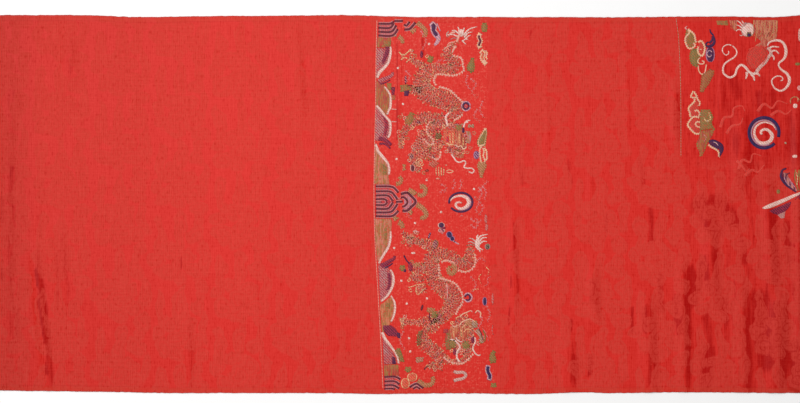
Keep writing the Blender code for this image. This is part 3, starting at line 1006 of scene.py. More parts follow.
# Scaled parts of the two dragons: column, row, half width
UPPER_PARTS = (
    ((457, 41, 1.3), (451, 46.5, 2.4), (446.5, 51.5, 3.6), (448.5, 57.5, 4.6), (455, 62.5, 5.4),
     (453, 69, 5.4), (443, 69, 5.4), (432, 70.5, 6.5), (423, 76, 8), (421.5, 86, 8.8), (428, 95, 9),
     (439, 98, 9), (450, 103, 9), (457, 108, 7), (454, 115, 6), (450, 120, 4)),
    ((446, 118, 7), (434, 128, 7), (424, 140, 8.4), (420, 152, 8), (414, 162, 5), (420, 171, 3)),
    ((438, 120, 6), (425, 118, 6), (413, 122, 5), (404, 132, 3.4), (401, 146, 2)),
    ((440, 140, 5), (434, 150, 6), (428, 160, 5)),
    ((456, 123, 6), (455, 132, 11), (455, 142, 12), (458, 150, 8), (460, 156, 3)),
    ((426, 68, 4), (417, 63, 3.2), (410, 58.5, 2.2)), ((424, 90, 4.6), (412, 90, 4), (405, 89, 3)),
)
LOWER_PARTS = (
    ((470.8, 246.5, 2), (469.6, 252, 4), (469.2, 259, 6), (465.6, 264.6, 6.2), (458.6, 263, 5.4),
     (453, 257.6, 5.6), (446, 254.6, 5.6), (438, 254, 6.4), (432, 258, 8), (431, 266, 8), (432, 274, 7.4),
     (437.6, 283, 8), (446, 289.6, 9), (452.6, 296, 8.6), (452.4, 304, 8), (447, 312, 6.6), (440, 318, 6),
     (434, 325, 5), (431, 331, 4)),
    ((429.6, 329, 2), (423, 334, 4.6), (424, 343, 6.4), (432, 348.6, 6.4), (438.6, 355, 6.6), (446, 360, 4),
     (455, 361.6, 2), (463, 360.6, 2.4), (467.6, 356, 4), (466, 351, 4)),
    ((434, 248, 6), (425.6, 243.7, 4.6), (416, 241, 3.4), (409.7, 240, 3.4), (408.6, 245.6, 2)),
    ((417, 231.8, 1.2), (412.4, 236, 2.4), (409, 239, 2.4)),
    ((402.6, 232.6, 1.8), (406, 235, 2.6), (410, 239, 2.6)),
    ((426, 268, 5), (417, 268.6, 5.4), (410.4, 268, 4)),
    ((424, 280, 3), (416, 277.6, 4), (409.6, 275.6, 1.6)),
    ((426, 288, 3.4), (420, 289.4, 3), (417, 292.6, 1.6)),
    ((441, 315, 4), (433, 319, 5.6), (424, 322, 4.4), (414, 322.4, 2.6), (403, 321.6, 3.4)),
    ((440, 362, 4), (434, 366.6, 4), (429, 363, 2)),
    ((466, 317, 6), (463, 326, 11), (462, 336, 12), (464, 345, 10), (466, 352, 6)),
)
# Combs along the dragons' backs and bellies: column and row
UPPER_COMBS = (
    ((454, 56), (459.6, 57.3), (462, 59.8), (462.9, 66.4), (463.7, 70.5), (457, 74.7), (449.6, 75.5),
     (443, 74.3), (436.3, 74.7), (433.8, 80.5), (435.5, 84.6)),
    ((439.7, 87), (448, 89.5), (453, 93), (457.9, 98), (462, 101.7)),
    ((462, 114.7), (458.1, 117.9), (455, 119.8)),
    ((429.4, 122.3), (426.9, 126.8), (426.9, 131.9), (428.8, 135.7), (432.6, 138.9), (433.3, 143.4),
     (429.4, 144.4), (424.3, 139.5)),
    ((433, 157.3), (436.3, 159.8), (439.7, 157.3), (440.9, 152.3)),
)
LOWER_COMBS = (
    ((474.8, 255), (475.4, 262.2), (472.2, 268.6), (465.8, 271.8), (458.8, 270.5)),
    ((456.2, 267.9), (453.7, 262.8), (449.8, 261.2), (446, 260.3), (442.2, 261.6)),
    ((438.4, 265), (439.2, 270), (439, 275.6)),
    ((440.3, 278.2), (446, 279.9), (452.4, 282), (456.2, 284.5), (458.8, 288.4), (461.3, 292.2),
     (462.9, 299.3), (461.4, 304.3), (458, 309.2), (456, 313.6)),
    ((444.1, 357.6), (447.5, 360.4), (452, 362.6), (461.9, 363.6), (468.9, 358.6), (472.8, 354.7)),
)
# The upper dragon's tail fan and face as fields, its joints and eyes as ovals, its feet and horns as lines
UPPER_FIELDS = (
    ("orange", "scarlet", ((444.4, 130), (443, 138), (445.4, 146)),
     ((455.4, 129.5), (455.6, 138), (453.4, 148))),
    ("orange", "~rust", ((456.2, 129.6), (455.8, 138), (456.6, 147)),
     ((463.6, 130), (465.6, 138), (465, 146))),
    ("grey", "~olive", ((466, 131), (467, 138), (466, 143)), ((470, 131), (471.5, 137), (470, 144))),
    ("olive", "green", ((410.8, 112), (409.6, 115), (406.4, 118), (405.6, 124)),
     ((414, 113), (412.4, 116), (413.2, 120), (409, 125))),
    ("olive", "green", ((400.4, 85), (401.5, 88), (401, 92)), ((406, 84.4), (409.6, 87.6), (412, 90.6))),
    ("plum", "navy", ((404, 90.6), (404, 96)), ((409.8, 90), (408.4, 96))),
    ("rust", "tan", ((433, 160), (428, 165)), ((440, 163), (434, 168))),
)
UPPER_SPOTS = (
    ("olive", "green", None, 458.8, 127.6, 2.6, 2.6), ("olive", "grey", None, 471, 126, 2.8, 1.4),
    ("plum", "navy", None, 463.2, 130.6, 1.5, 3.2),
    ("green", "maroon", None, 438.4, 136, 2.6, 3.2), ("magenta", "scarlet", None, 438.4, 129.3, 1.6, 1.6),
    ("scarlet", "magenta", None, 447.5, 139.5, 1.8, 4),
    ("pink", None, None, 464.5, 135.4, 0.9, 1.8), ("plum", "mauve", "tan", 411.6, 156.6, 2.0, 2.6),
    ("plum", "maroon", "foam", 412.6, 168, 2.0, 3.4),
    ("olive", "tan", None, 404, 167.4, 3.0, 1.3, 90), ("plum", "magenta", None, 421.6, 54.4, 1.6, 3.8),
    ("olive", "green", None, 430.4, 59.4, 2.2, 3.6, 20),
    ("plum", "pink", None, 405.6, 79.8, 1.2, 4.6), ("plum", "mauve", None, 418.4, 122.2, 1.5, 2.4, 75),
    ("white", "foam", None, 461, 33, 3.0, 4.2, 10),
    ("blush", "rust", None, 426.6, 179, 1.2, 0.9), ("rust", "maroon", None, 427, 170.6, 2.0, 1.4),
    ("magenta", "rust", None, 450, 149, 1.2, 2.4),
)
UPPER_LINES = (
    ("foam", "white", (0.8, 1.0, ((449.8, 112.1), (446, 116.6, 1.5), (446.7, 121.7, 1.2), (447.9, 127))),
     (0.6, 1.1, ((470.9, 120.4), (466.4, 121), (463.9, 125.5), (464.4, 127.6))),
     (0.8, 0.7,
      ((451.1, 153.6), (453.7, 157.4), (456.2, 161.2), (460.1, 162.2), (463.9, 160.6), (465.8, 163.1),
       (463.9, 167), (467.1, 168.2), (471.5, 168.2), (474.1, 170.5), (472.2, 173), (468.3, 171.4)))),
    ("cream", "orange", (0.5, 0.5, ((449.8, 132), (450.2, 145))), (0.5, 0.5, ((453, 131.4), (453, 146))),
     (0.5, 0.5, ((459.2, 132.6), (459.6, 144)))),
    ("cream", "green", (0.5, 0.5, ((463, 137), (463.4, 146.4)))),
    ("rust", "maroon", (0.5, 0.5, ((447.4, 131.4), (447, 135))), (0.5, 0.5, ((461, 132), (461.4, 143)))),
    ("foam", "cream", (0.7, 0.7, ((445.4, 144), (447.5, 143.2), (449.2, 145.3), (451, 144.2), (453, 146))),
     (0.6, 0.8,
      ((454, 146), (456, 144.8), (458, 147), (461, 145.6), (463, 148.8), (465.4, 148.2), (466.8, 146)))),
    ("olive", "maroon", (0.8, 0.6, ((454.6, 149.4), (458, 150.6), (461.6, 151.6)))),
    ("mauve", "foam", (0.6, 0.5, ((449, 147.6), (451.6, 151), (452, 154.6)))),
    ("tan", "rust", (0.5, 0.5, ((455.6, 152), (457, 156.6), (460.4, 157.6), (462.4, 154)))),
    ("green", "maroon", (0.9, 0.7, ((431.4, 145.7), (430, 149.6), (428.9, 153.1)))),
    ("maroon", "plum", (0.8, 0.6, ((432.6, 155), (434.6, 158.4)))),
    ("tan", "cream", (0.55, 0.55, ((436.3, 167), (436, 171.4), (436.6, 176))),
     (0.55, 0.55, ((438.8, 166.6), (438.6, 171.6), (439.2, 176.4)))),
    ("cream", "tan", (0.55, 0.55, ((441.4, 166.8), (441.2, 171.6), (441.6, 176.4)))),
    ("tan", "cream", (0.55, 0.55, ((443.8, 168), (443.8, 172), (443.4, 175.6)))),
    ("blush", "cream",
     (0.5, 0.5, ((446, 171.2), (449, 169.8), (453.4, 171.3), (449, 172.9), (446, 171.4)))),
    ("blush", "tan", (0.7, 0.6, ((445, 165.6), (447.4, 164.6))),
     (0.9, 0.6, ((435.8, 179.4), (438, 178.2), (440, 179.6)))),
    ("tan", "orange", (0.6, 0.5, ((397.8, 134.4), (398.8, 141), (400.7, 149.4))),
     (0.5, 0.5, ((402.4, 136), (401.6, 142), (403, 147)))),
    ("blush", "tan", (0.6, 0.5, ((401.6, 112.6), (403.4, 117)))),
    ("cream", "tan",
     (0.8, 0.7, ((399, 51.5), (401.4, 54.4), (404.8, 54.8), (408, 52), (411.5, 49.8), (413.9, 51.5)))),
    ("tan", "cream", (0.7, 0.6, ((400.6, 60.4), (404, 57.6), (408.4, 58.6))),
     (0.7, 0.5, ((406, 63), (408.6, 60), (412, 58)))),
    ("cream", "tan", (0.6, 0.5, ((409.6, 55.6), (411.6, 53.2), (415, 55)))),
    ("maroon", "plum", (0.6, 0.5, ((406.5, 86.4), (410, 85.4), (413.6, 86)))),
    ("foam", "blush", (1.7, 0.9, ((460.4, 33), (458, 38), (457, 42.4)))),
    ("blush", "foam", (1.5, 0.7, ((456.4, 45.4), (453.6, 49.4), (452, 53.4)))),
    ("foam", "blush", (1.3, 0.7, ((456, 32), (451.4, 33), (448, 36.4)))),
    ("grey", "foam", (0.8, 0.5, ((449, 31.4), (446.6, 34), (447.4, 37.6)))),
    ("foam", "white", (0.9, 0.4, ((459, 37), (452.8, 34.6), (446.3, 34.9))),
     (0.9, 0.4, ((459, 34), (455, 30.6), (451.3, 30.7))), (1.2, 0.4, ((460, 36), (459, 30), (457.6, 26.4))),
     (1.2, 0.4, ((462, 34), (463.6, 30), (464.4, 27))), (1.2, 0.4, ((463, 36), (469, 29.4), (477, 26.6))),
     (1.0, 0.4, ((464, 38), (468, 33), (472.8, 32))), (0.9, 0.4, ((464.6, 40), (468, 36.4), (471.2, 34.9))),
     (0.9, 0.4, ((462, 42), (464.6, 39.6), (468.6, 39))),
     (0.8, 0.4, ((461.6, 40), (464, 42.6), (466.4, 44.6)))),
    ("grey", "mauve", (0.6, 0.4, ((457, 38.6), (453.4, 38), (450, 40)))),
    ("foam", "blush", (0.6, 0.4, ((455, 42), (450, 42.6), (446.8, 45.6))),
     (0.6, 0.4, ((452, 45), (446.6, 47), (443.4, 50.6)))),
    ("pink", "tan", (0.6, 0.5, ((407.8, 156.2), (409.2, 153.8), (411.2, 154)))),
)
# The same for the lower dragon
LOWER_FIELDS = (
    ("orange", "~rust", ((450.4, 326), (449.4, 333), (452.6, 340)),
     ((458.2, 324), (458.4, 333), (457.4, 340))),
    ("orange", "~rust", ((458.8, 326), (459, 334), (458.4, 340)), ((468.4, 325), (469.6, 332), (465, 340))),
    ("green", "~rust", ((447, 330), (446, 340), (447, 350)), ((450, 329), (450, 340), (451, 350))),
    ("magenta", "rust", ((443.5, 329), (443, 333)), ((448, 328.5), (448.5, 333))),
    ("magenta", "plum", ((408, 262), (408, 267), (409.6, 271.6)), ((411.6, 262), (413, 266), (412.6, 271))),
    ("olive", "grey", ((416.8, 357), (416.6, 363)), ((423, 357), (422, 362))),
    ("green", "maroon", ((419.6, 331), (417.6, 338), (417.8, 346)),
     ((422.4, 330.6), (420.4, 338), (420.6, 345))),
    ("olive", "tan", ((429.6, 308), (429, 313)), ((434, 308), (434.6, 312))),
)
LOWER_SPOTS = (
    ("mauve", "plum", "olive", 435.2, 244.4, 2.8, 4.8, 10),
    ("olive", "green", None, 402.4, 267.8, 2.2, 2.6), ("navy", "plum", None, 404.9, 270.6, 1.5, 1.7),
    ("olive", "tan", None, 417, 264.6, 1.6, 3, 90), ("plum", "magenta", None, 472.8, 339.8, 1.8, 3.6),
    ("grey", "olive", None, 479, 333, 2.4, 5, -25),
    ("olive", "grey", None, 481.4, 340, 1.8, 4), ("olive", "green", None, 452.4, 344, 3, 4.4),
    ("magenta", "plum", None, 454.6, 351.6, 1.8, 3.8),
    ("olive", "green", None, 466, 345, 3.2, 3.6, 60), ("tan", "olive", None, 468.4, 322.6, 3, 4, 80),
    ("olive", "grey", None, 474.6, 324.6, 2.6, 3.6),
    ("white", "foam", None, 477.4, 243.6, 2.8, 5.2, 0), ("green", "navy", "grey", 487.5, 246.6, 2.2, 2.8),
    ("plum", "maroon", None, 422, 307.6, 1.2, 3.2, 15),
    ("olive", "tan", None, 429.6, 310, 2.2, 2.4), ("magenta", "mauve", None, 439.6, 316.4, 1.6, 3.4, 30),
    ("green", "olive", None, 434.4, 314.6, 2.2, 3.6),
)
LOWER_LINES = (
    ("foam", "white",
     (0.9, 1.1,
      ((448.4, 340), (453, 339.6), (457, 342.8), (460, 346.8), (457.2, 351.7), (457, 357.6), (460, 362.8))),
     (0.9, 0.7,
      ((474.8, 336.9), (475.3, 341.8), (472.8, 347.7), (474.8, 352.7), (478.2, 355.4), (480.9, 354.4))),
     (0.7, 0.5, ((455.4, 336.4), (458, 340.6), (463, 342)))),
    ("foam", "cream", (0.7, 0.5, ((459, 326), (462, 322), (466, 320), (470, 319), (474, 321), (477, 325)))),
    ("cream", "tan", (0.6, 0.5, ((461, 329), (465, 325), (469.6, 325), (473, 328)))),
    ("cream", "orange", (0.6, 0.5, ((463, 333), (467, 329), (472, 330))),
     (0.5, 0.5, ((454, 327), (453.6, 338)))),
    ("cream", "green", (0.5, 0.5, ((461, 328), (461.4, 338)))),
    ("foam", "cream", (0.6, 0.5, ((452, 325), (455, 327), (458, 324)))),
    ("cream", "tan", (0.6, 0.5, ((455, 319), (459, 316.4), (462, 318)))),
    ("foam", "cream",
     (0.6, 0.5, ((459.6, 317.4), (462.6, 314), (466.9, 312.2), (470.8, 310.6), (472.4, 312))),
     (0.6, 0.5, ((474.8, 313.4), (477.7, 310.4), (480.9, 313.2), (479.7, 318.1)))),
    ("plum", "maroon", (0.5, 0.5, ((478, 328), (481, 333), (483, 341)))),
    ("green", "olive", (0.7, 0.5, ((483, 330), (485.4, 336), (484.6, 342)))),
    ("white", "foam", (1.3, 0.4, ((477.3, 241.2), (480.5, 236.1), (488.1, 234.1))),
     (1.1, 0.4, ((478, 243.6), (482.4, 238), (487.6, 237.6))),
     (1.0, 0.4, ((478.6, 244.6), (483.4, 241.2), (487.4, 241.8))),
     (1.1, 0.5, ((476.4, 248), (479.4, 249.6), (480, 252.4))),
     (0.9, 0.4, ((478.4, 247.6), (481, 248.8), (483.7, 250.2)))),
    ("foam", "grey", (0.9, 0.4, ((476, 242), (472, 238.6), (468.6, 238.4))),
     (0.8, 0.4, ((475, 244), (470.6, 241.6), (467.4, 243)))),
    ("white", "foam", (1.2, 0.5, ((477.6, 240), (477, 236.6), (478.4, 234.4)))),
    ("grey", "green", (0.6, 0.4, ((474.6, 246), (470.4, 244.4), (466, 246)))),
    ("foam", "pink", (0.7, 0.5, ((446.7, 283.3), (447.4, 291), (447.3, 299)))),
    ("plum", "navy", (0.8, 0.6, ((403.9, 255.2), (406.5, 260.3), (410.3, 264.1)))),
    ("plum", "lilac", (0.9, 0.5, ((428.4, 238.4), (429.6, 235.4), (430.9, 232.4)))),
    ("cream", "tan", (0.55, 0.5, ((407.8, 287.7), (414.1, 285.8), (417.3, 284.5), (425.6, 284))),
     (0.55, 0.5, ((416.4, 286), (416, 290.9), (418, 294.7), (422.4, 290.3), (425.6, 288.4)))),
    ("foam", "pink", (0.8, 0.5, ((412.9, 231.9), (416, 231), (419.9, 232.4)))),
    ("cream", "tan", (0.6, 0.5, ((400.4, 318), (401.4, 323), (403, 327.6)))),
    ("tan", "cream", (0.6, 0.5, ((404, 326), (403, 321), (405, 317)))),
    ("tan", "rust", (0.6, 0.4, ((432, 369), (438, 368.6), (443, 371)))),
    ("plum", "rust", (0.8, 0.5, ((424, 369.6), (426.6, 366.6), (430, 366)))),
    ("maroon", "plum", (0.9, 0.6, ((430, 313), (429.4, 318), (432, 323)))),
    ("foam", "grey",
     (1.6, 1.6,
      ((453.5, 371), (457, 372.4, 1.1), (462.9, 372.2), (466, 375), (462.9, 378.4), (457, 379.6, 1.1),
       (453.5, 381)))),
)
# Dyes of the scale arcs: from this share of them to that one, dye, second dye; the rest are left out
SCALE_DYES = (
    (0, 0.3, "tan", "mauve"), (0.3, 0.5, "blush", "tan"), (0.5, 0.62, "cream", "tan"),
    (0.62, 0.8, "grey", "tan"), (0.8, 0.93, "olive", "tan"),
)
# Share of the scales with a dark tuft inside
MARKED_SHARE = 0.72
# Dyes of the mane's curls, in turn
CURL_DYES = ("cream", "blush", "tan", "foam", "olive")


def scaled(path, pick):
    """A dragon's part: red-brown ground, a lattice of thin scale arcs and dark tufts inside them."""
    net = ribbon(path, 2.4)
    shapes = laid(net, "rust", "scarlet", 0.14)
    edges = net[0][:, (0, -1)].reshape(-1, 2)
    edges = edges + pick.normal(0, 0.5, edges.shape)
    for k, colour in enumerate(("blush", "olive", "cream")):
        shapes += laid(dots(edges[k::3], 0.6), colour, "tan", 0.34)
    centres, arcs = scale_arcs(path, pick)
    choice = pick.random(len(arcs))
    for low, high, colour, cross in SCALE_DYES:
        shapes += laid(arcs[(choice >= low) & (choice < high)], colour, cross, 0.36)
    marked = pick.random(len(centres)) < MARKED_SHARE
    places = centres[marked] + pick.normal(0, 0.3, (marked.sum(), 2))
    shapes += laid(dots(places[::4], 0.55), "green", "maroon", 0.3)
    return shapes + laid(dots(np.delete(places, np.s_[::4], 0), 0.58), "maroon", "plum", 0.3)


# Curls of mane and claws: column and row
UPPER_CURLS = (
    (444, 126), (452, 124.4), (474, 133.4), (446, 151.4), (462, 155.4), (441, 147), (434.6, 150.4),
    (467, 152), (413, 146.4), (408, 139), (412, 128), (418.6, 130.4), (403.4, 55.4), (411, 51), (414.6, 56),
    (403, 142.6), (399, 131.6), (399.4, 146.4), (409, 160), (424, 172.4), (430, 146), (457, 153),
    (470, 147.4), (405, 118), (400, 117.4), (426.6, 56.4), (433.4, 64.4), (442.6, 55),
)
LOWER_CURLS = (
    (452, 322.4), (458.4, 326.4), (470, 329), (476.4, 331), (449, 337), (452, 351), (461.4, 351),
    (470.4, 350), (478.6, 343), (475.6, 322.4), (466, 316), (404.4, 238.4), (411, 236), (415, 232.4),
    (402.6, 242), (410.4, 290), (418.4, 288), (400.6, 320), (404.6, 316), (402.4, 326.4), (428, 366.4),
    (434.6, 370), (440.6, 367), (424, 246.6), (412, 262), (408.6, 280), (483.4, 337), (444.4, 345),
)


def dragon(parts, combs, areas, ovals, lines, curls, seed):
    """Rows for woven of one dragon: scaled parts, bead combs along their edges, then details and curls."""
    pick = np.random.default_rng(seed)
    shapes = [row for path in parts[::-1] for row in scaled(path, pick)]
    for path in combs:
        beads = through(path, 2.3)
        shapes += laid(comb(path, 1.8, 3.1, 0.7), "blush", "foam", 0.3)
        shapes += laid(dots(beads, 1.0), "foam", "blush", 0.44)
        shapes += laid(stroke(path, 0.35, 0.35, 1.5, 4), "blush", "tan", 0.34)
    shapes += fields(areas, 0.4, 1.6, True) + spots(ovals, 0.44, True) + drawn(lines, 0.48)
    for k, (column, row) in enumerate(curls):
        curl = scroll(column, row, 2.2, 0.5, 1.1, 0.5, 0.4, 97 * k)
        shapes += laid(curl, CURL_DYES[k % len(CURL_DYES)], "tan", 0.47)
    return shapes


def make_upper_dragon():
    """The dragon above the pearl: scaled body in two bends, feet, tail fan and horned head."""
    shapes = dragon(UPPER_PARTS, UPPER_COMBS, UPPER_FIELDS, UPPER_SPOTS, UPPER_LINES, UPPER_CURLS, 3)
    shapes += laid(scroll(419.6, 162, 4.6, 1.0, 1.8, 0.5, 0.45, 20), "cream", "tan", 0.46)
    woven("upper_dragon", shapes)


def make_lower_dragon():
    """The dragon below the pearl, coiled once more round its head."""
    shapes = dragon(LOWER_PARTS, LOWER_COMBS, LOWER_FIELDS, LOWER_SPOTS, LOWER_LINES, LOWER_CURLS, 5)
    shapes += laid(ring(468, 297.4, 3.9, 4.3, 0.8, 200, 520), "lilac", "foam", 0.4)
    shapes += laid(ring(467.6, 297.4, 2.4, 2.8, 0.9, 180, 500), "plum", "navy", 0.46)
    woven("lower_dragon", shapes)


# The pale scroll inside each pearl: column, row, half width
BAND_PEARL_SCROLL = (
    (449.8, 201.5, 0.6), (452.5, 198.2, 0.9), (457, 196.2, 1.1), (462, 195.9, 1.4), (466.8, 197.8, 1.9),
    (468.8, 201.8, 2), (467, 206, 1.8),
    (462, 208.6, 1.5), (457.5, 207.6, 1.4), (455.6, 204.2, 1.2), (458, 202.2, 1), (462.3, 202.9, 0.7),
)
CORNER_PEARL_SCROLL = (
    (775.5, 128.8, 0.5), (772, 124.5, 0.7), (763.4, 122.3, 0.9), (755.7, 127, 1.1), (754.4, 134.8, 1.4),
    (758.3, 141.7, 1.7), (764.3, 143.2, 1.8),
    (770.3, 140.6, 2), (772, 135.7, 2), (769.5, 131.3, 1.6), (765.1, 129.2, 1.4), (760.8, 131.3, 1.3),
    (761.7, 134.8, 1.2),
)


def make_pearls():
    """Two flaming pearls: navy ring with a gap, thin light ring and a pale scroll."""
    shapes = laid(ring(460.8, 202.2, 11.7, 9.5, 1.15, 169, 508), "navy", "plum", 0.36)
    shapes += laid(ring(461.2, 202.4, 9.6, 7.5, 0.7, -80, 110), "mauve", "lilac", 0.3)
    shapes += laid(ribbon(BAND_PEARL_SCROLL), "foam", "white", 0.42)
    shapes += laid(ring(763.9, 132.8, 15.0, 15.1, 1.75, 43, 378), "navy", "navy", 0.38)
    shapes += laid(ring(763.9, 132.8, 12.5, 12.5, 0.75, 60, 350), "grey", "lilac", 0.3)
    shapes += laid(ribbon(CORNER_PEARL_SCROLL), "foam", "white", 0.44)
    woven("pearls", shapes)


# Small clouds and leaves of the band, as ovals and as lines
CLOUD_SPOTS = (
    ("navy", "plum", "foam", 441.3, 225.2, 3.0, 2.8), ("plum", "pink", "foam", 441.6, 230.4, 3.0, 2.2),
    ("pink", "mauve", None, 441.8, 232, 2.4, 1.3, 60),
    ("navy", "navy", "lilac", 449.4, 234.6, 2.6, 3.2, -25),
    ("navy", "navy", "lilac", 452.2, 238.6, 2.0, 2.4, -30),
    ("navy", "navy", "lilac", 484.7, 301.3, 1.7, 4.2),
    ("navy", "green", "lilac", 487.6, 246.7, 1.8, 2.2), ("olive", "green", None, 484.4, 27.6, 2.4, 5),
    ("plum", "lilac", "lilac", 476.4, 155, 2.4, 4.0),
    ("olive", "green", None, 493.6, 385.4, 2.2, 2.4), ("plum", "magenta", None, 443.6, 228, 2.2, 1.4),
    ("pink", "magenta", None, 465.8, 106.2, 0.9, 2.2, 10),
    ("mauve", "flame", None, 485.8, 219, 1.6, 5), ("mauve", "flame", None, 486.6, 227, 1.6, 4),
    ("mauve", "flame", None, 492.6, 299, 1.2, 6),
)
CLOUD_LINES = (
    ("lilac", "foam",
     (1, 1,
      ((430.6, 22.4, 2.6), (433.6, 26, 3.7), (433.4, 30.4, 3), (436, 34.4, 3.3), (438.6, 38.6, 2.3),
       (436.8, 42.8, 1.9), (434, 45.6, 1)))),
    ("navy", "plum",
     (1, 1,
      ((431.2, 23.4, 1.6), (433.6, 26, 2.6), (433.4, 30.4, 2), (435.6, 33.8, 2.3), (437.6, 37, 1.3)))),
    ("foam", "lilac", (0.5, 0.4, ((437, 39.6), (438.2, 42), (435.6, 43.4)))),
    ("lilac", "foam", (0.6, 0.5, ((436.8, 23), (438.6, 27.4), (440.4, 31.4)))),
    ("green", "olive",
     (1, 1, ((472.5, 57.5, 0.6), (472, 62, 1.6), (471, 66.5, 3.4), (470.5, 70.5, 2.6), (470, 72, 1)))),
    ("cream", "foam", (1.9, 2.1, ((480.6, 32.8), (478.8, 37), (480.8, 41), (479, 44.6), (480.4, 48.4)))),
    ("plum", "maroon", (1.3, 1.4, ((480.2, 33.8), (478.8, 37), (480.4, 41), (479, 44.6), (480, 47.4)))),
    ("cream", "foam", (2.4, 1.9, ((480.4, 50.4), (483.4, 53.6), (482, 58), (484.6, 62.6), (486.4, 64.6)))),
    ("orange", "scarlet", (1.5, 1.1, ((480.4, 51), (483.2, 53.8), (482, 57.4), (484.2, 61.4)))),
    ("cream", "foam", (0.6, 0.5, ((485, 50.4), (487.2, 53), (486, 56.6), (487.6, 59.6)))),
    ("foam", "lilac", (0.9, 0.6, ((453, 240.4), (456, 242.6), (459.6, 244.4)))),
    ("navy", "plum", (1.0, 0.6, ((453, 241), (456, 242.2)))),
    ("plum", "mauve", (0.7, 0.5, ((430.4, 232.8), (428.6, 235.6), (428.4, 239)))),
    ("cream", "foam",
     (1, 1,
      ((485.4, 127.6, 0.7), (484.6, 133, 2.4), (482.6, 138, 3.6), (481.4, 143, 4.1), (482.2, 147, 2.8)))),
    ("green", "olive",
     (1, 1,
      ((485.4, 129, 0.5), (484.6, 133.4, 1.9), (482.6, 138.4, 3.1), (481.4, 142.8, 3.6),
       (482.2, 146.2, 2.2)))),
    ("olive", "tan",
     (1, 1,
      ((482, 161.5, 2.4), (481.8, 165.5, 4.2), (481.6, 169.5, 2.8), (481.3, 173.5, 1.5),
       (481.2, 177.6, 0.6)))),
    ("cream", "foam",
     (0.6, 0.6, ((482.4, 146.6), (480, 148.5), (479.8, 154.2), (480.6, 159.3), (481.4, 163.2))),
     (0.6, 0.6, ((482.8, 147.6), (484, 151.5), (483.2, 156), (485, 160.4), (484, 163))),
     (0.7, 0.6, ((484, 147.6), (486.4, 150.8), (486.8, 155.6), (486.9, 159), (485, 160.4)))),
    ("lilac", "foam", (2.6, 2.6, ((488.4, 364.8), (487.6, 370.4), (489.8, 376), (488.8, 380.6)))),
    ("navy", "navy", (1.9, 1.7, ((488.4, 365), (487.6, 370.4), (489.8, 376), (488.8, 380.2)))),
    ("olive", "green",
     (1, 1, ((494.6, 350.7, 0.7), (492.4, 354.6, 1.8), (492.8, 359.4, 2.8), (493, 363, 1.6)))),
    ("green", "olive", (2.2, 1.2, ((397, 349), (399.7, 354.7), (402.4, 361.6)))),
    ("flame", "cream", (0.5, 0.4, ((485.7, 266.7), (489, 270.6), (487.6, 275))),
     (0.5, 0.4, ((482, 273.6), (478.9, 276.6), (479.4, 280), (481.4, 283.6))),
     (0.5, 0.4, ((471.8, 291), (475.6, 289.2), (479.7, 289)))),
    ("flame", "pink", (0.5, 0.4, ((491, 276.6), (487.6, 278.2), (488, 283), (485, 286))),
     (0.5, 0.4, ((482, 327), (486, 333), (488.6, 341)))),
    ("flame", "mauve", (0.6, 0.4, ((492.8, 325), (492, 330), (493.4, 335)))),
)


def make_band_clouds():
    """Small clouds, leaves and scrolls down the band's right side and between the dragons."""
    shapes = spots(CLOUD_SPOTS, bumpy=True) + drawn(CLOUD_LINES, 0.36, bumpy=True)
    shapes += laid(ring(465.9, 106.1, 4.4, 4.6, 0.7), "lilac", "foam", 0.36)
    shapes += laid(ring(465.9, 106.1, 2.7, 3.2, 1.0), "plum", "navy", 0.42)
    woven("band_clouds", shapes)


# Flame scrolls of the band and of the corner: column and row
FLAMES = (
    ((452, 189.6), (455, 184), (453.4, 179)), ((459, 190), (461.4, 184.6), (460, 179.4)),
    ((439.7, 193.7), (442, 190.4), (444.6, 189.8)),
    ((478, 193), (481, 188), (484.4, 184.4), (488, 181)),
    ((478, 186), (482, 193), (479, 200), (483, 207), (480, 214)), ((398, 200), (402, 196), (408, 198)),
    ((470, 218), (476, 222), (482, 220)), ((462, 214), (461.6, 217)),
    ((470, 224), (475, 228), (478, 224), (476, 218)), ((405, 70), (410, 76), (406, 82)),
    ((470, 78), (476, 84), (472, 92), (478, 98)), ((478, 108), (474, 116), (480, 122)),
    ((420, 30), (426, 40), (422, 50)), ((412, 205), (407, 212), (411, 219)),
    ((470, 276), (476, 284), (472, 292)), ((478, 310), (482, 320), (478, 330), (484, 340)),
    ((404, 330), (400, 340), (405, 350)),
    ((468, 74), (466, 82), (470, 90)), ((483, 100), (480, 110), (484, 118)),
    ((474, 196), (479, 202), (476, 210), (481, 216)),
    ((436, 64), (440, 60), (446, 61)), ((482, 186), (486, 192), (484, 200)),
    ((476, 262), (481, 258), (486, 262)),
    ((486, 305), (490, 314), (487, 322)), ((440, 184), (446, 187), (444, 193)),
)
CORNER_FLAMES = (
    ((720, 128), (724, 118), (732, 116), (734, 108), (742, 106), (745, 112)),
    ((726, 134), (732, 126), (740, 124), (743, 117)),
    ((738, 170), (742, 160), (750, 162), (753, 154), (762, 156)),
    ((744, 176), (752, 170), (758, 172), (765, 164)),
    ((757, 112), (764, 104), (772, 108), (778, 101), (788, 104)),
    ((770, 116), (778, 111), (786, 114), (792, 109)), ((736, 160), (741, 165), (746, 171), (750, 168)),
)


def make_flames():
    """Faint flame scrolls near the ground's red: thin dotted lines in the band, broad ones in the corner."""
    shapes = drawn([("flame", "pink", (0.6, 0.35, path)) for path in FLAMES], 0.16)
    for path in FLAMES:
        beside = rims(ribbon([(*place, 0.9) for place in path]), 3.4)
        shapes += laid(dots(beside, 0.42), "pink", "tan", 0.2)
    shapes += drawn([("flame", "scarlet", (1.8, 0.5, path)) for path in CORNER_FLAMES], 0.14)
    woven("flame_scrolls", shapes)


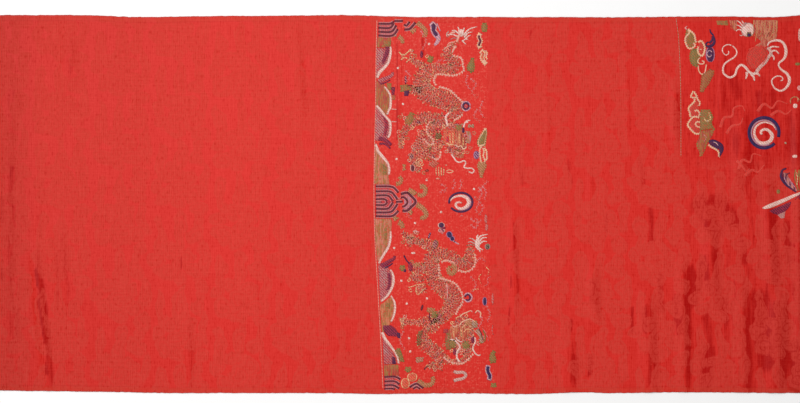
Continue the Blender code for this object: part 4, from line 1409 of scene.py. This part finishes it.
# The corner creature's hair, body and brow as fields, its eye and joints as ovals
CREATURE_FIELDS = (
    ("tan", "~rust", ((752.3, 19.5), (755, 28.9), (755.5, 36.3), (760.6, 41.8), (755, 45.5), (754.6, 49.2)),
     ((778.2, 19.5), (777.7, 33.5), (776.3, 39), (771.7, 41.8), (767, 45.5), (766.2, 47.4))),
    ("tan", "~rust", ((728.6, 20), (731, 26), (734, 31)), ((737, 20), (737, 25), (736.8, 31))),
    ("olive", "~green", ((716, 20.6), (717, 25)), ((728, 20.4), (728.6, 25.6))),
    ("scarlet", "rust", ((757, 46.2), (749, 52), (747, 60), (752, 69.4)),
     ((760, 46), (766, 50), (766, 58), (757, 69.4))),
)
CREATURE_SPOTS = (
    ("white", "foam", "grey", 747.7, 29.8, 6.6, 7.4), ("grey", "mauve", None, 744.6, 24.6, 1.4, 3, 40),
    ("green", "plum", None, 748.9, 34.4, 3.0, 2.9), ("navy", "navy", None, 749, 35, 1.9, 1.9),
    ("white", "foam", None, 795, 105.9, 2.3, 2.4), ("foam", "white", None, 794.5, 156.3, 1.7, 2.6, 90),
    ("olive", "green", None, 778.2, 191.6, 1.9, 2.4),
    ("grey", "olive", None, 785.4, 143, 1.2, 1.3), ("foam", "grey", None, 799.6, 35, 1.6, 7),
    ("green", "olive", None, 797.4, 64, 2.6, 1.7), ("pink", "foam", None, 799.4, 88, 2.4, 2.8),
)
# Its whisker, arm, fingers, claws and big curl as lines
CREATURE_LINES = (
    ("foam", "white",
     (0.5, 0.6,
      ((728.3, 50.6), (728.7, 53.4), (725.9, 55.2), (723.2, 52.9), (722.2, 50.1), (723.2, 46.9),
       (727.3, 44.6), (732, 45.5))),
     (0.65, 1.5,
      ((732, 45.5), (736.1, 49.7), (736.6, 53.8), (733.8, 57.5), (729.2, 60.3), (724.6, 64), (722.9, 68.6),
       (723.6, 73.3), (729.2, 77.4), (734.7, 75.1), (737, 68.6), (741.2, 64.9), (745.8, 67.7),
       (748.6, 71.4), (753.2, 74.2), (756, 72.3))),
     (1.7, 0.6, ((746.6, 71.6), (746.8, 75.4), (745.4, 79.4))),
     (1.7, 0.6, ((750.6, 73.4), (753.6, 77), (754.6, 81.4))),
     (1.6, 0.6, ((755, 72.6), (758.2, 74), (760, 76.8)))),
    ("foam", "grey",
     (2.0, 1.6,
      ((756, 72.3), (760.2, 66.8), (765.2, 62.2), (768, 57.5), (770.8, 53.8), (769.9, 50.1), (767, 47.4)))),
    ("foam", "white", (1.1, 0.6, ((768.4, 49), (772.4, 46.6), (779.4, 47.2))),
     (1.1, 0.6, ((770.8, 51.4), (775.4, 50.6), (779.2, 54.3))),
     (1.1, 0.6, ((770.6, 54), (774, 57.5), (773.4, 60.6))),
     (1, 1,
      ((767, 46.4, 0.6), (769, 42.7, 0.9), (772.6, 40.9, 1.1), (778.2, 40.4, 1.3), (782.8, 42.7, 1.4),
       (785.6, 48.3, 1.6), (785.6, 54.8, 1.6), (783.3, 59.4, 1.2), (779, 63, 1), (779, 66.8, 0.9),
       (782.3, 70.5, 1.2), (786.5, 73.3, 1.5), (789.3, 78.8, 1.7), (788.4, 84.3, 1.5), (784.7, 89, 1.2),
       (780, 90.8, 1), (774.5, 88, 0.9), (771.7, 82.5, 0.8), (772.6, 78.8, 0.7), (777.3, 76, 0.7),
       (781.9, 77, 0.6), (782.8, 79.7, 0.6), (780, 81, 0.6)))),
    ("white", "foam", (0.9, 0.4, ((743.6, 27), (740, 22.6), (736.6, 20.4))),
     (0.9, 0.4, ((742.6, 28.6), (738.6, 25.6), (735.8, 25))),
     (0.9, 0.4, ((742.4, 31), (738.6, 29.4), (735.6, 31.4))),
     (0.8, 0.4, ((744, 24), (742.4, 21.6), (741.4, 20)))),
    ("foam", "grey", (0.7, 0.4, ((743.6, 34), (741.2, 35.8), (739, 34.6)))),
    ("flame", "scarlet", (0.7, 0.5, ((748, 50), (753, 47.6), (756.6, 51.6), (760, 47.8), (765, 50.6))),
     (0.6, 0.5, ((759, 45.6), (752.6, 48), (748, 53), (746.6, 60), (748.6, 66), (752, 70))),
     (0.6, 0.5, ((759, 45.6), (764, 47), (767, 51.6), (766.4, 58), (761.6, 65.6))),
     (0.5, 0.5, ((753, 50), (751, 57), (753.4, 64))), (0.5, 0.5, ((760, 49), (761.4, 55.6), (758.6, 62.6))),
     (0.7, 0.5, ((748, 58), (753, 55.6), (756.6, 59.6), (761, 55.8), (766, 57.6))),
     (0.6, 0.4, ((750, 65), (754, 62.8), (757, 66.2), (760, 63)))),
    ("tan", "olive", (0.6, 0.5, ((790.6, 104), (790.4, 99.6), (793.6, 97), (797, 97.4), (799.6, 100.6)))),
    ("tan", "cream", (0.5, 0.4, ((797.6, 97.6), (797.8, 102)))),
)


def make_corner_creature():
    """The creature in the corner: golden hair, round eye, curling whisker and clawed foot."""
    # Strands of hair hang from row 20, lean in towards the eye and end unevenly
    strands = [
        (
            (a, 20), (a + 0.6 * math.sin(a), 25), (a - 0.4, 30 + a % 3),
            (a - 0.12 * (a - 753) - 0.6, 35 + 2.5 * math.sin(1.7 * a)),
            (a - 0.3 * (a - 753) - 1, 39 + 3 * math.sin(2.3 * a)),
        )
        for a in 753.6 + 1.95 * np.arange(13)
    ]
    strands += [((a, 20.4), (a + 0.8, 25), (a + 1.8, 30)) for a in (729.6, 732.2, 734.8)]
    shapes = fields(CREATURE_FIELDS, 0.18)
    shapes += drawn([("gold", "tan", (0.4, 0.3, path)) for path in strands[::2]], 0.32)
    shapes += drawn([("orange", "rust", (0.4, 0.3, path)) for path in strands[1::2]], 0.32)
    shapes += spots(CREATURE_SPOTS[:1], 0.36) + spots(CREATURE_SPOTS[1:], 0.46)
    woven("corner_creature", shapes + drawn(CREATURE_LINES, 0.44))


# The corner's two cloud sprays: lobes as fields and ovals, their edges as lines
SPRAY_FIELDS = (
    ("green", "olive", ((687, 30), (685.6, 37.2), (685.4, 41.8), (687.8, 47.4)),
     ((688.2, 30), (693, 35), (694.6, 40.9), (692, 47.4))),
    ("scarlet", "rust", ((699.6, 42), (698.2, 47), (699.6, 54)), ((701.8, 42), (704.2, 47.6), (702, 54.6))),
    ("scarlet", "rust", ((690.6, 104), (689.2, 110), (691.4, 117)),
     ((697.4, 100), (699, 106), (699.6, 116))),
    ("scarlet", "rust", ((694, 118), (689, 125), (693, 132)), ((700, 118.6), (700.6, 125), (700, 132.4))),
    ("green", "olive", ((701.9, 109.3), (701, 113), (700.5, 121.3), (700, 130.6)),
     ((708.8, 109.3), (712.5, 117.6), (710.7, 122.3), (713.9, 129))),
    ("olive", "~rust", ((700, 130.6), (699.6, 138), (696.8, 144.5), (700, 151.9), (700.3, 156)),
     ((713.9, 129), (711.6, 135.2), (707, 142.6), (704.2, 150), (700.8, 156.5))),
)
SPRAY_SPOTS = (
    ("green", "olive", None, 694.5, 56.8, 4.4, 8.8), ("navy", "plum", "lilac", 710.2, 54.6, 4.2, 7.8),
    ("white", None, None, 707.5, 121, 1.1, 1.1),
)
SPRAY_LINES = (
    ("cream", "foam", (0.7, 0.6, ((687.6, 28.9), (694, 34.4), (695.4, 40.9), (696.8, 42.7)))),
    ("pink", "foam", (0.7, 0.5, ((687.5, 30), (685, 28), (687.4, 26)))),
    ("cream", "foam",
     (0.6, 0.6,
      ((687.6, 29.8), (689.4, 32.6), (685.7, 37.2), (685.3, 41.8), (687.6, 47.4), (690.3, 48.7),
       (694, 46.9), (695, 44.6), (692.2, 42.7))),
     (0.7, 0.7,
      ((697.7, 42.7), (700.5, 40.9), (702.8, 42.7), (704.7, 47.4), (704.2, 52), (702.4, 55.7),
       (699.6, 54.8), (697.7, 51.1), (698.2, 46.4)))),
    ("foam", "cream", (0.5, 0.5, ((698.7, 49.7), (701.4, 49.2), (701, 51))),
     (0.6, 0.6,
      ((700.5, 57.5), (698.2, 59.4), (697.7, 62.2), (700.5, 64), (703.7, 63.5), (703.7, 61.2),
       (701.4, 61.2))),
     (0.6, 0.6, ((698.2, 64.9), (698.7, 70.5), (701.4, 74.2), (704.7, 72.8), (705.6, 68.6), (706.5, 64)))),
    ("navy", "plum",
     (0.8, 0.8,
      ((709.8, 28.9, 0.6), (710.7, 32.6), (713, 35.3), (714.4, 41.8, 1.6), (711.6, 45.5, 1.9),
       (707, 46.4, 1.4), (706, 43.7), (708.8, 41.8))), (1.0, 1.2, ((712.4, 36), (712.2, 40), (709, 43.4)))),
    ("lilac", "foam",
     (0.5, 0.4, ((712.6, 53), (709.6, 50.4), (706.8, 53.4), (708.6, 57), (711.4, 55.6), (710, 53.4)))),
    ("green", "olive", (1, 1, ((694.5, 63, 1.6), (696.8, 66.4, 0.6)))),
    ("olive", "rust",
     (1, 1,
      ((712, 69.5, 1.2), (710, 73.5, 3), (706.5, 77.5, 4), (705, 82.5, 3.2), (702.8, 87.5, 1.9),
       (701.4, 92.6, 0.8)))),
    ("cream", "foam",
     (0.6, 0.6,
      ((693.6, 90.8), (692, 93.6), (690.8, 96.8), (694.5, 97.8), (696.8, 96.4), (695, 93.6),
       (693.6, 90.8))),
     (0.7, 0.6,
      ((694.5, 98.2), (694.5, 101), (692.2, 103.8), (689.4, 106.5), (688.5, 109.3), (689.9, 113),
       (689.9, 115.8), (691.7, 117.2))),
     (0.6, 0.5, ((696.8, 96.8), (697.7, 99.6), (699.6, 101.9), (699.6, 104.7), (698.2, 106))),
     (0.7, 0.5, ((694, 111.6), (696.8, 110.2), (699, 112), (699.6, 114.9), (697.7, 115.8))),
     (0.7, 0.7,
      ((699.6, 117.6), (694, 116.7), (689.9, 120.4), (687.6, 125), (689.4, 127.8), (692.7, 131.5),
       (695.9, 133.8), (700, 133.4))),
     (0.6, 0.5, ((700.5, 122.3), (696.8, 121.8), (695.4, 124.1), (696.8, 126.4), (700.5, 127.3)))),
    ("cream", "olive", (0.5, 0.5, ((708, 112), (710.6, 117.4), (709, 121), (705, 120), (704.6, 116.6)))),
    ("pink", "olive", (0.6, 0.4, ((703, 134), (706, 137), (704, 142)))),
    ("cream", "foam", (0.7, 0.6, ((708, 144.4), (712, 147.4), (716, 149.4), (718.6, 152.4), (718.8, 157)))),
    ("navy", "plum",
     (1, 1,
      ((708.5, 141, 1), (712, 142.4, 3), (716.5, 144.6, 3.6), (720.5, 147, 3), (721.3, 151, 1.8),
       (719.4, 156.5, 0.6)))),
    ("lilac", "foam", (0.5, 0.4, ((711.6, 141.4), (716, 143), (719, 146.6)))),
)


def make_corner_clouds():
    """Two cloud sprays on the corner's left side, in red, green and navy lobes with pale edges."""
    shapes = fields(SPRAY_FIELDS, bumpy=True) + spots(SPRAY_SPOTS, 0.34, True)
    woven("corner_clouds", shapes + drawn(SPRAY_LINES, 0.4, 1.1, True))


# The crest at the right end: slope and plume as fields, foam bar and outlines as lines
SEA_FIELDS = (
    ("plum", "magenta", ((768.2, 211), (773, 213.6), (778, 215)),
     ((791.8, 201), (789.4, 207.4), (783.2, 212.8))),
    ("grey", "mauve", ((777, 214.6), (781, 218.6)), ((785.6, 211), (784.4, 218))),
    ("plum", "~mauve", ((783, 172), (783, 178), (787, 184.6), (795, 191.6)),
     ((787, 173), (789.6, 179), (793.4, 184), (797.2, 191))),
    ("green", "~olive", ((794.4, 169.2), (793.6, 178), (797.4, 191)), ((806, 169), (808, 180), (808, 190))),
    ("plum", "magenta", ((798, 195), (794, 200)), ((808, 190), (808, 197))),
)
SEA_LINES = (
    ("foam", "white",
     (1, 1,
      ((762, 208.3, 0.8), (768, 206.5, 2.1), (776, 203.5, 2.2), (786, 199.3, 1.9), (793, 196, 1.6),
       (799, 193.4, 1.2), (807, 190, 1)))),
    ("navy", "plum",
     (0.9, 0.9,
      ((786.7, 168.4), (782.4, 170.1, 1.2), (781.1, 176.1, 1.8), (783.2, 181.3, 1.6), (786.7, 185.6, 1.2),
       (791.8, 189.1), (795.8, 192.5, 0.7)))),
    ("maroon", "navy", (0.7, 0.6, ((790.1, 172.7), (786.4, 175), (785.8, 181)))),
    ("lilac", "foam", (0.5, 0.4, ((784, 176.6), (786, 182), (791, 187)))),
    ("cream", "olive", (0.6, 0.5, ((796, 172), (797, 178), (796.4, 186)))),
    ("pink", "lilac", (0.5, 0.4, ((789, 178), (791.6, 183), (795, 188)))),
)


def make_corner_sea():
    """The crest at the panel's right end: foam bar, hatched slope and a navy plume."""
    woven("corner_sea", fields(SEA_FIELDS, 0.26) + drawn(SEA_LINES, 0.44))


# Stage


def make_stage():
    """A pale surface, one large soft lamp, even room light and a camera straight above."""
    stage = bpy.context.scene.brocade_stage
    # A level net 8 m wide, 0.2 mm under the cloth
    reach, count = 4.0, 9
    side = np.linspace(-reach, reach, count)
    spread = np.stack(np.meshgrid(side, side, [-0.2 * MM], indexing="ij"), -1).reshape(-1, 3)
    mesh = bpy.data.meshes.new("pale_surface")
    mesh.from_pydata(spread, [], quads(np.arange(count**2).reshape(count, count)))
    mesh.materials.append(surface_paint())
    surface = placed("pale_surface", mesh)

    lamp = bpy.data.lights.new("soft_lamp", "AREA")
    lamp.shape = "RECTANGLE"
    lamp.size, lamp.size_y = 2.4, 1.8
    lamp.energy = stage.lamp_power
    holder = placed("soft_lamp", lamp)
    holder.location = (-0.9, 0.7, 2.7)
    holder.rotation_euler = (math.radians(-14), math.radians(-18), 0)

    world = bpy.data.worlds.new("room_light")
    world.use_nodes = True
    background = world.node_tree.nodes["Background"]
    background.inputs["Color"].default_value = (1.0, 0.99, 0.98, 1.0)
    background.inputs["Strength"].default_value = stage.room_light
    bpy.context.scene.world = world

    lens = bpy.data.cameras.new("camera_above")
    lens.sensor_width = 36.0
    lens.lens = lens.sensor_width * stage.camera_height / stage.view_width
    camera = placed("camera_above", lens)
    camera.location = (0.0, stage.view_offset, stage.camera_height)
    bpy.context.scene.camera = camera
    bpy.context.scene.view_settings.view_transform = "Standard"


# The add-on


def operator(name, label, make):
    """An operator class that calls one maker; its docstring is the maker's."""

    def execute(self, context):
        make()
        return {"FINISHED"}

    body = {"bl_idname": f"brocade.{name}", "bl_label": label, "__doc__": make.__doc__}
    return type(f"BROCADE_OT_{name}", (bpy.types.Operator,), {**body, "execute": execute})


OPERATORS = (
    operator("cloth", "Add the silk cloth", make_cloth),
    operator("border", "Add the guide lines", make_border),
    operator("waves", "Add the wave band", make_waves),
    operator("curls", "Add hooks and dots", make_curls),
    operator("upper_dragon", "Add the upper dragon", make_upper_dragon),
    operator("lower_dragon", "Add the lower dragon", make_lower_dragon),
    operator("pearls", "Add the pearls", make_pearls),
    operator("band_clouds", "Add the band's clouds", make_band_clouds),
    operator("flames", "Add the flame scrolls", make_flames),
    operator("corner_creature", "Add the corner creature", make_corner_creature),
    operator("corner_clouds", "Add the corner clouds", make_corner_clouds),
    operator("corner_sea", "Add the corner sea", make_corner_sea),
    operator("stage", "Add the stage", make_stage),
)


class BROCADE_PT_panel(bpy.types.Panel):
    """Lists the cloth's pieces and their settings"""

    bl_idname = "BROCADE_PT_panel"
    bl_label = "Brocade panel"
    bl_space_type = "VIEW_3D"
    bl_region_type = "UI"
    bl_category = "Brocade"

    def draw(self, context):
        for group, settings in GROUPS:
            box = self.layout.box()
            for name in settings.__annotations__:
                box.prop(getattr(context.scene, group), name)
        for made in OPERATORS:
            self.layout.operator(made.bl_idname)


GROUPS = (("brocade_cloth", ClothSettings), ("brocade_dyes", SilkDyes), ("brocade_stage", StageSettings))
CLASSES = tuple(group for _, group in GROUPS) + OPERATORS + (BROCADE_PT_panel,)


def register():
    """Registers the classes and hangs their settings on the scene."""
    for made in CLASSES:
        bpy.utils.register_class(made)
    for name, group in GROUPS:
        setattr(bpy.types.Scene, name, bpy.props.PointerProperty(type=group))


def unregister():
    """Takes the settings and the classes away again."""
    for name, _ in GROUPS:
        delattr(bpy.types.Scene, name)
    for made in reversed(CLASSES):
        bpy.utils.unregister_class(made)


def main():
    """Builds every piece through its operator, then writes the sizes."""
    register()
    for made in OPERATORS:
        getattr(bpy.ops.brocade, made.bl_idname.split(".")[1])()


if __name__ == "__main__":
    main()
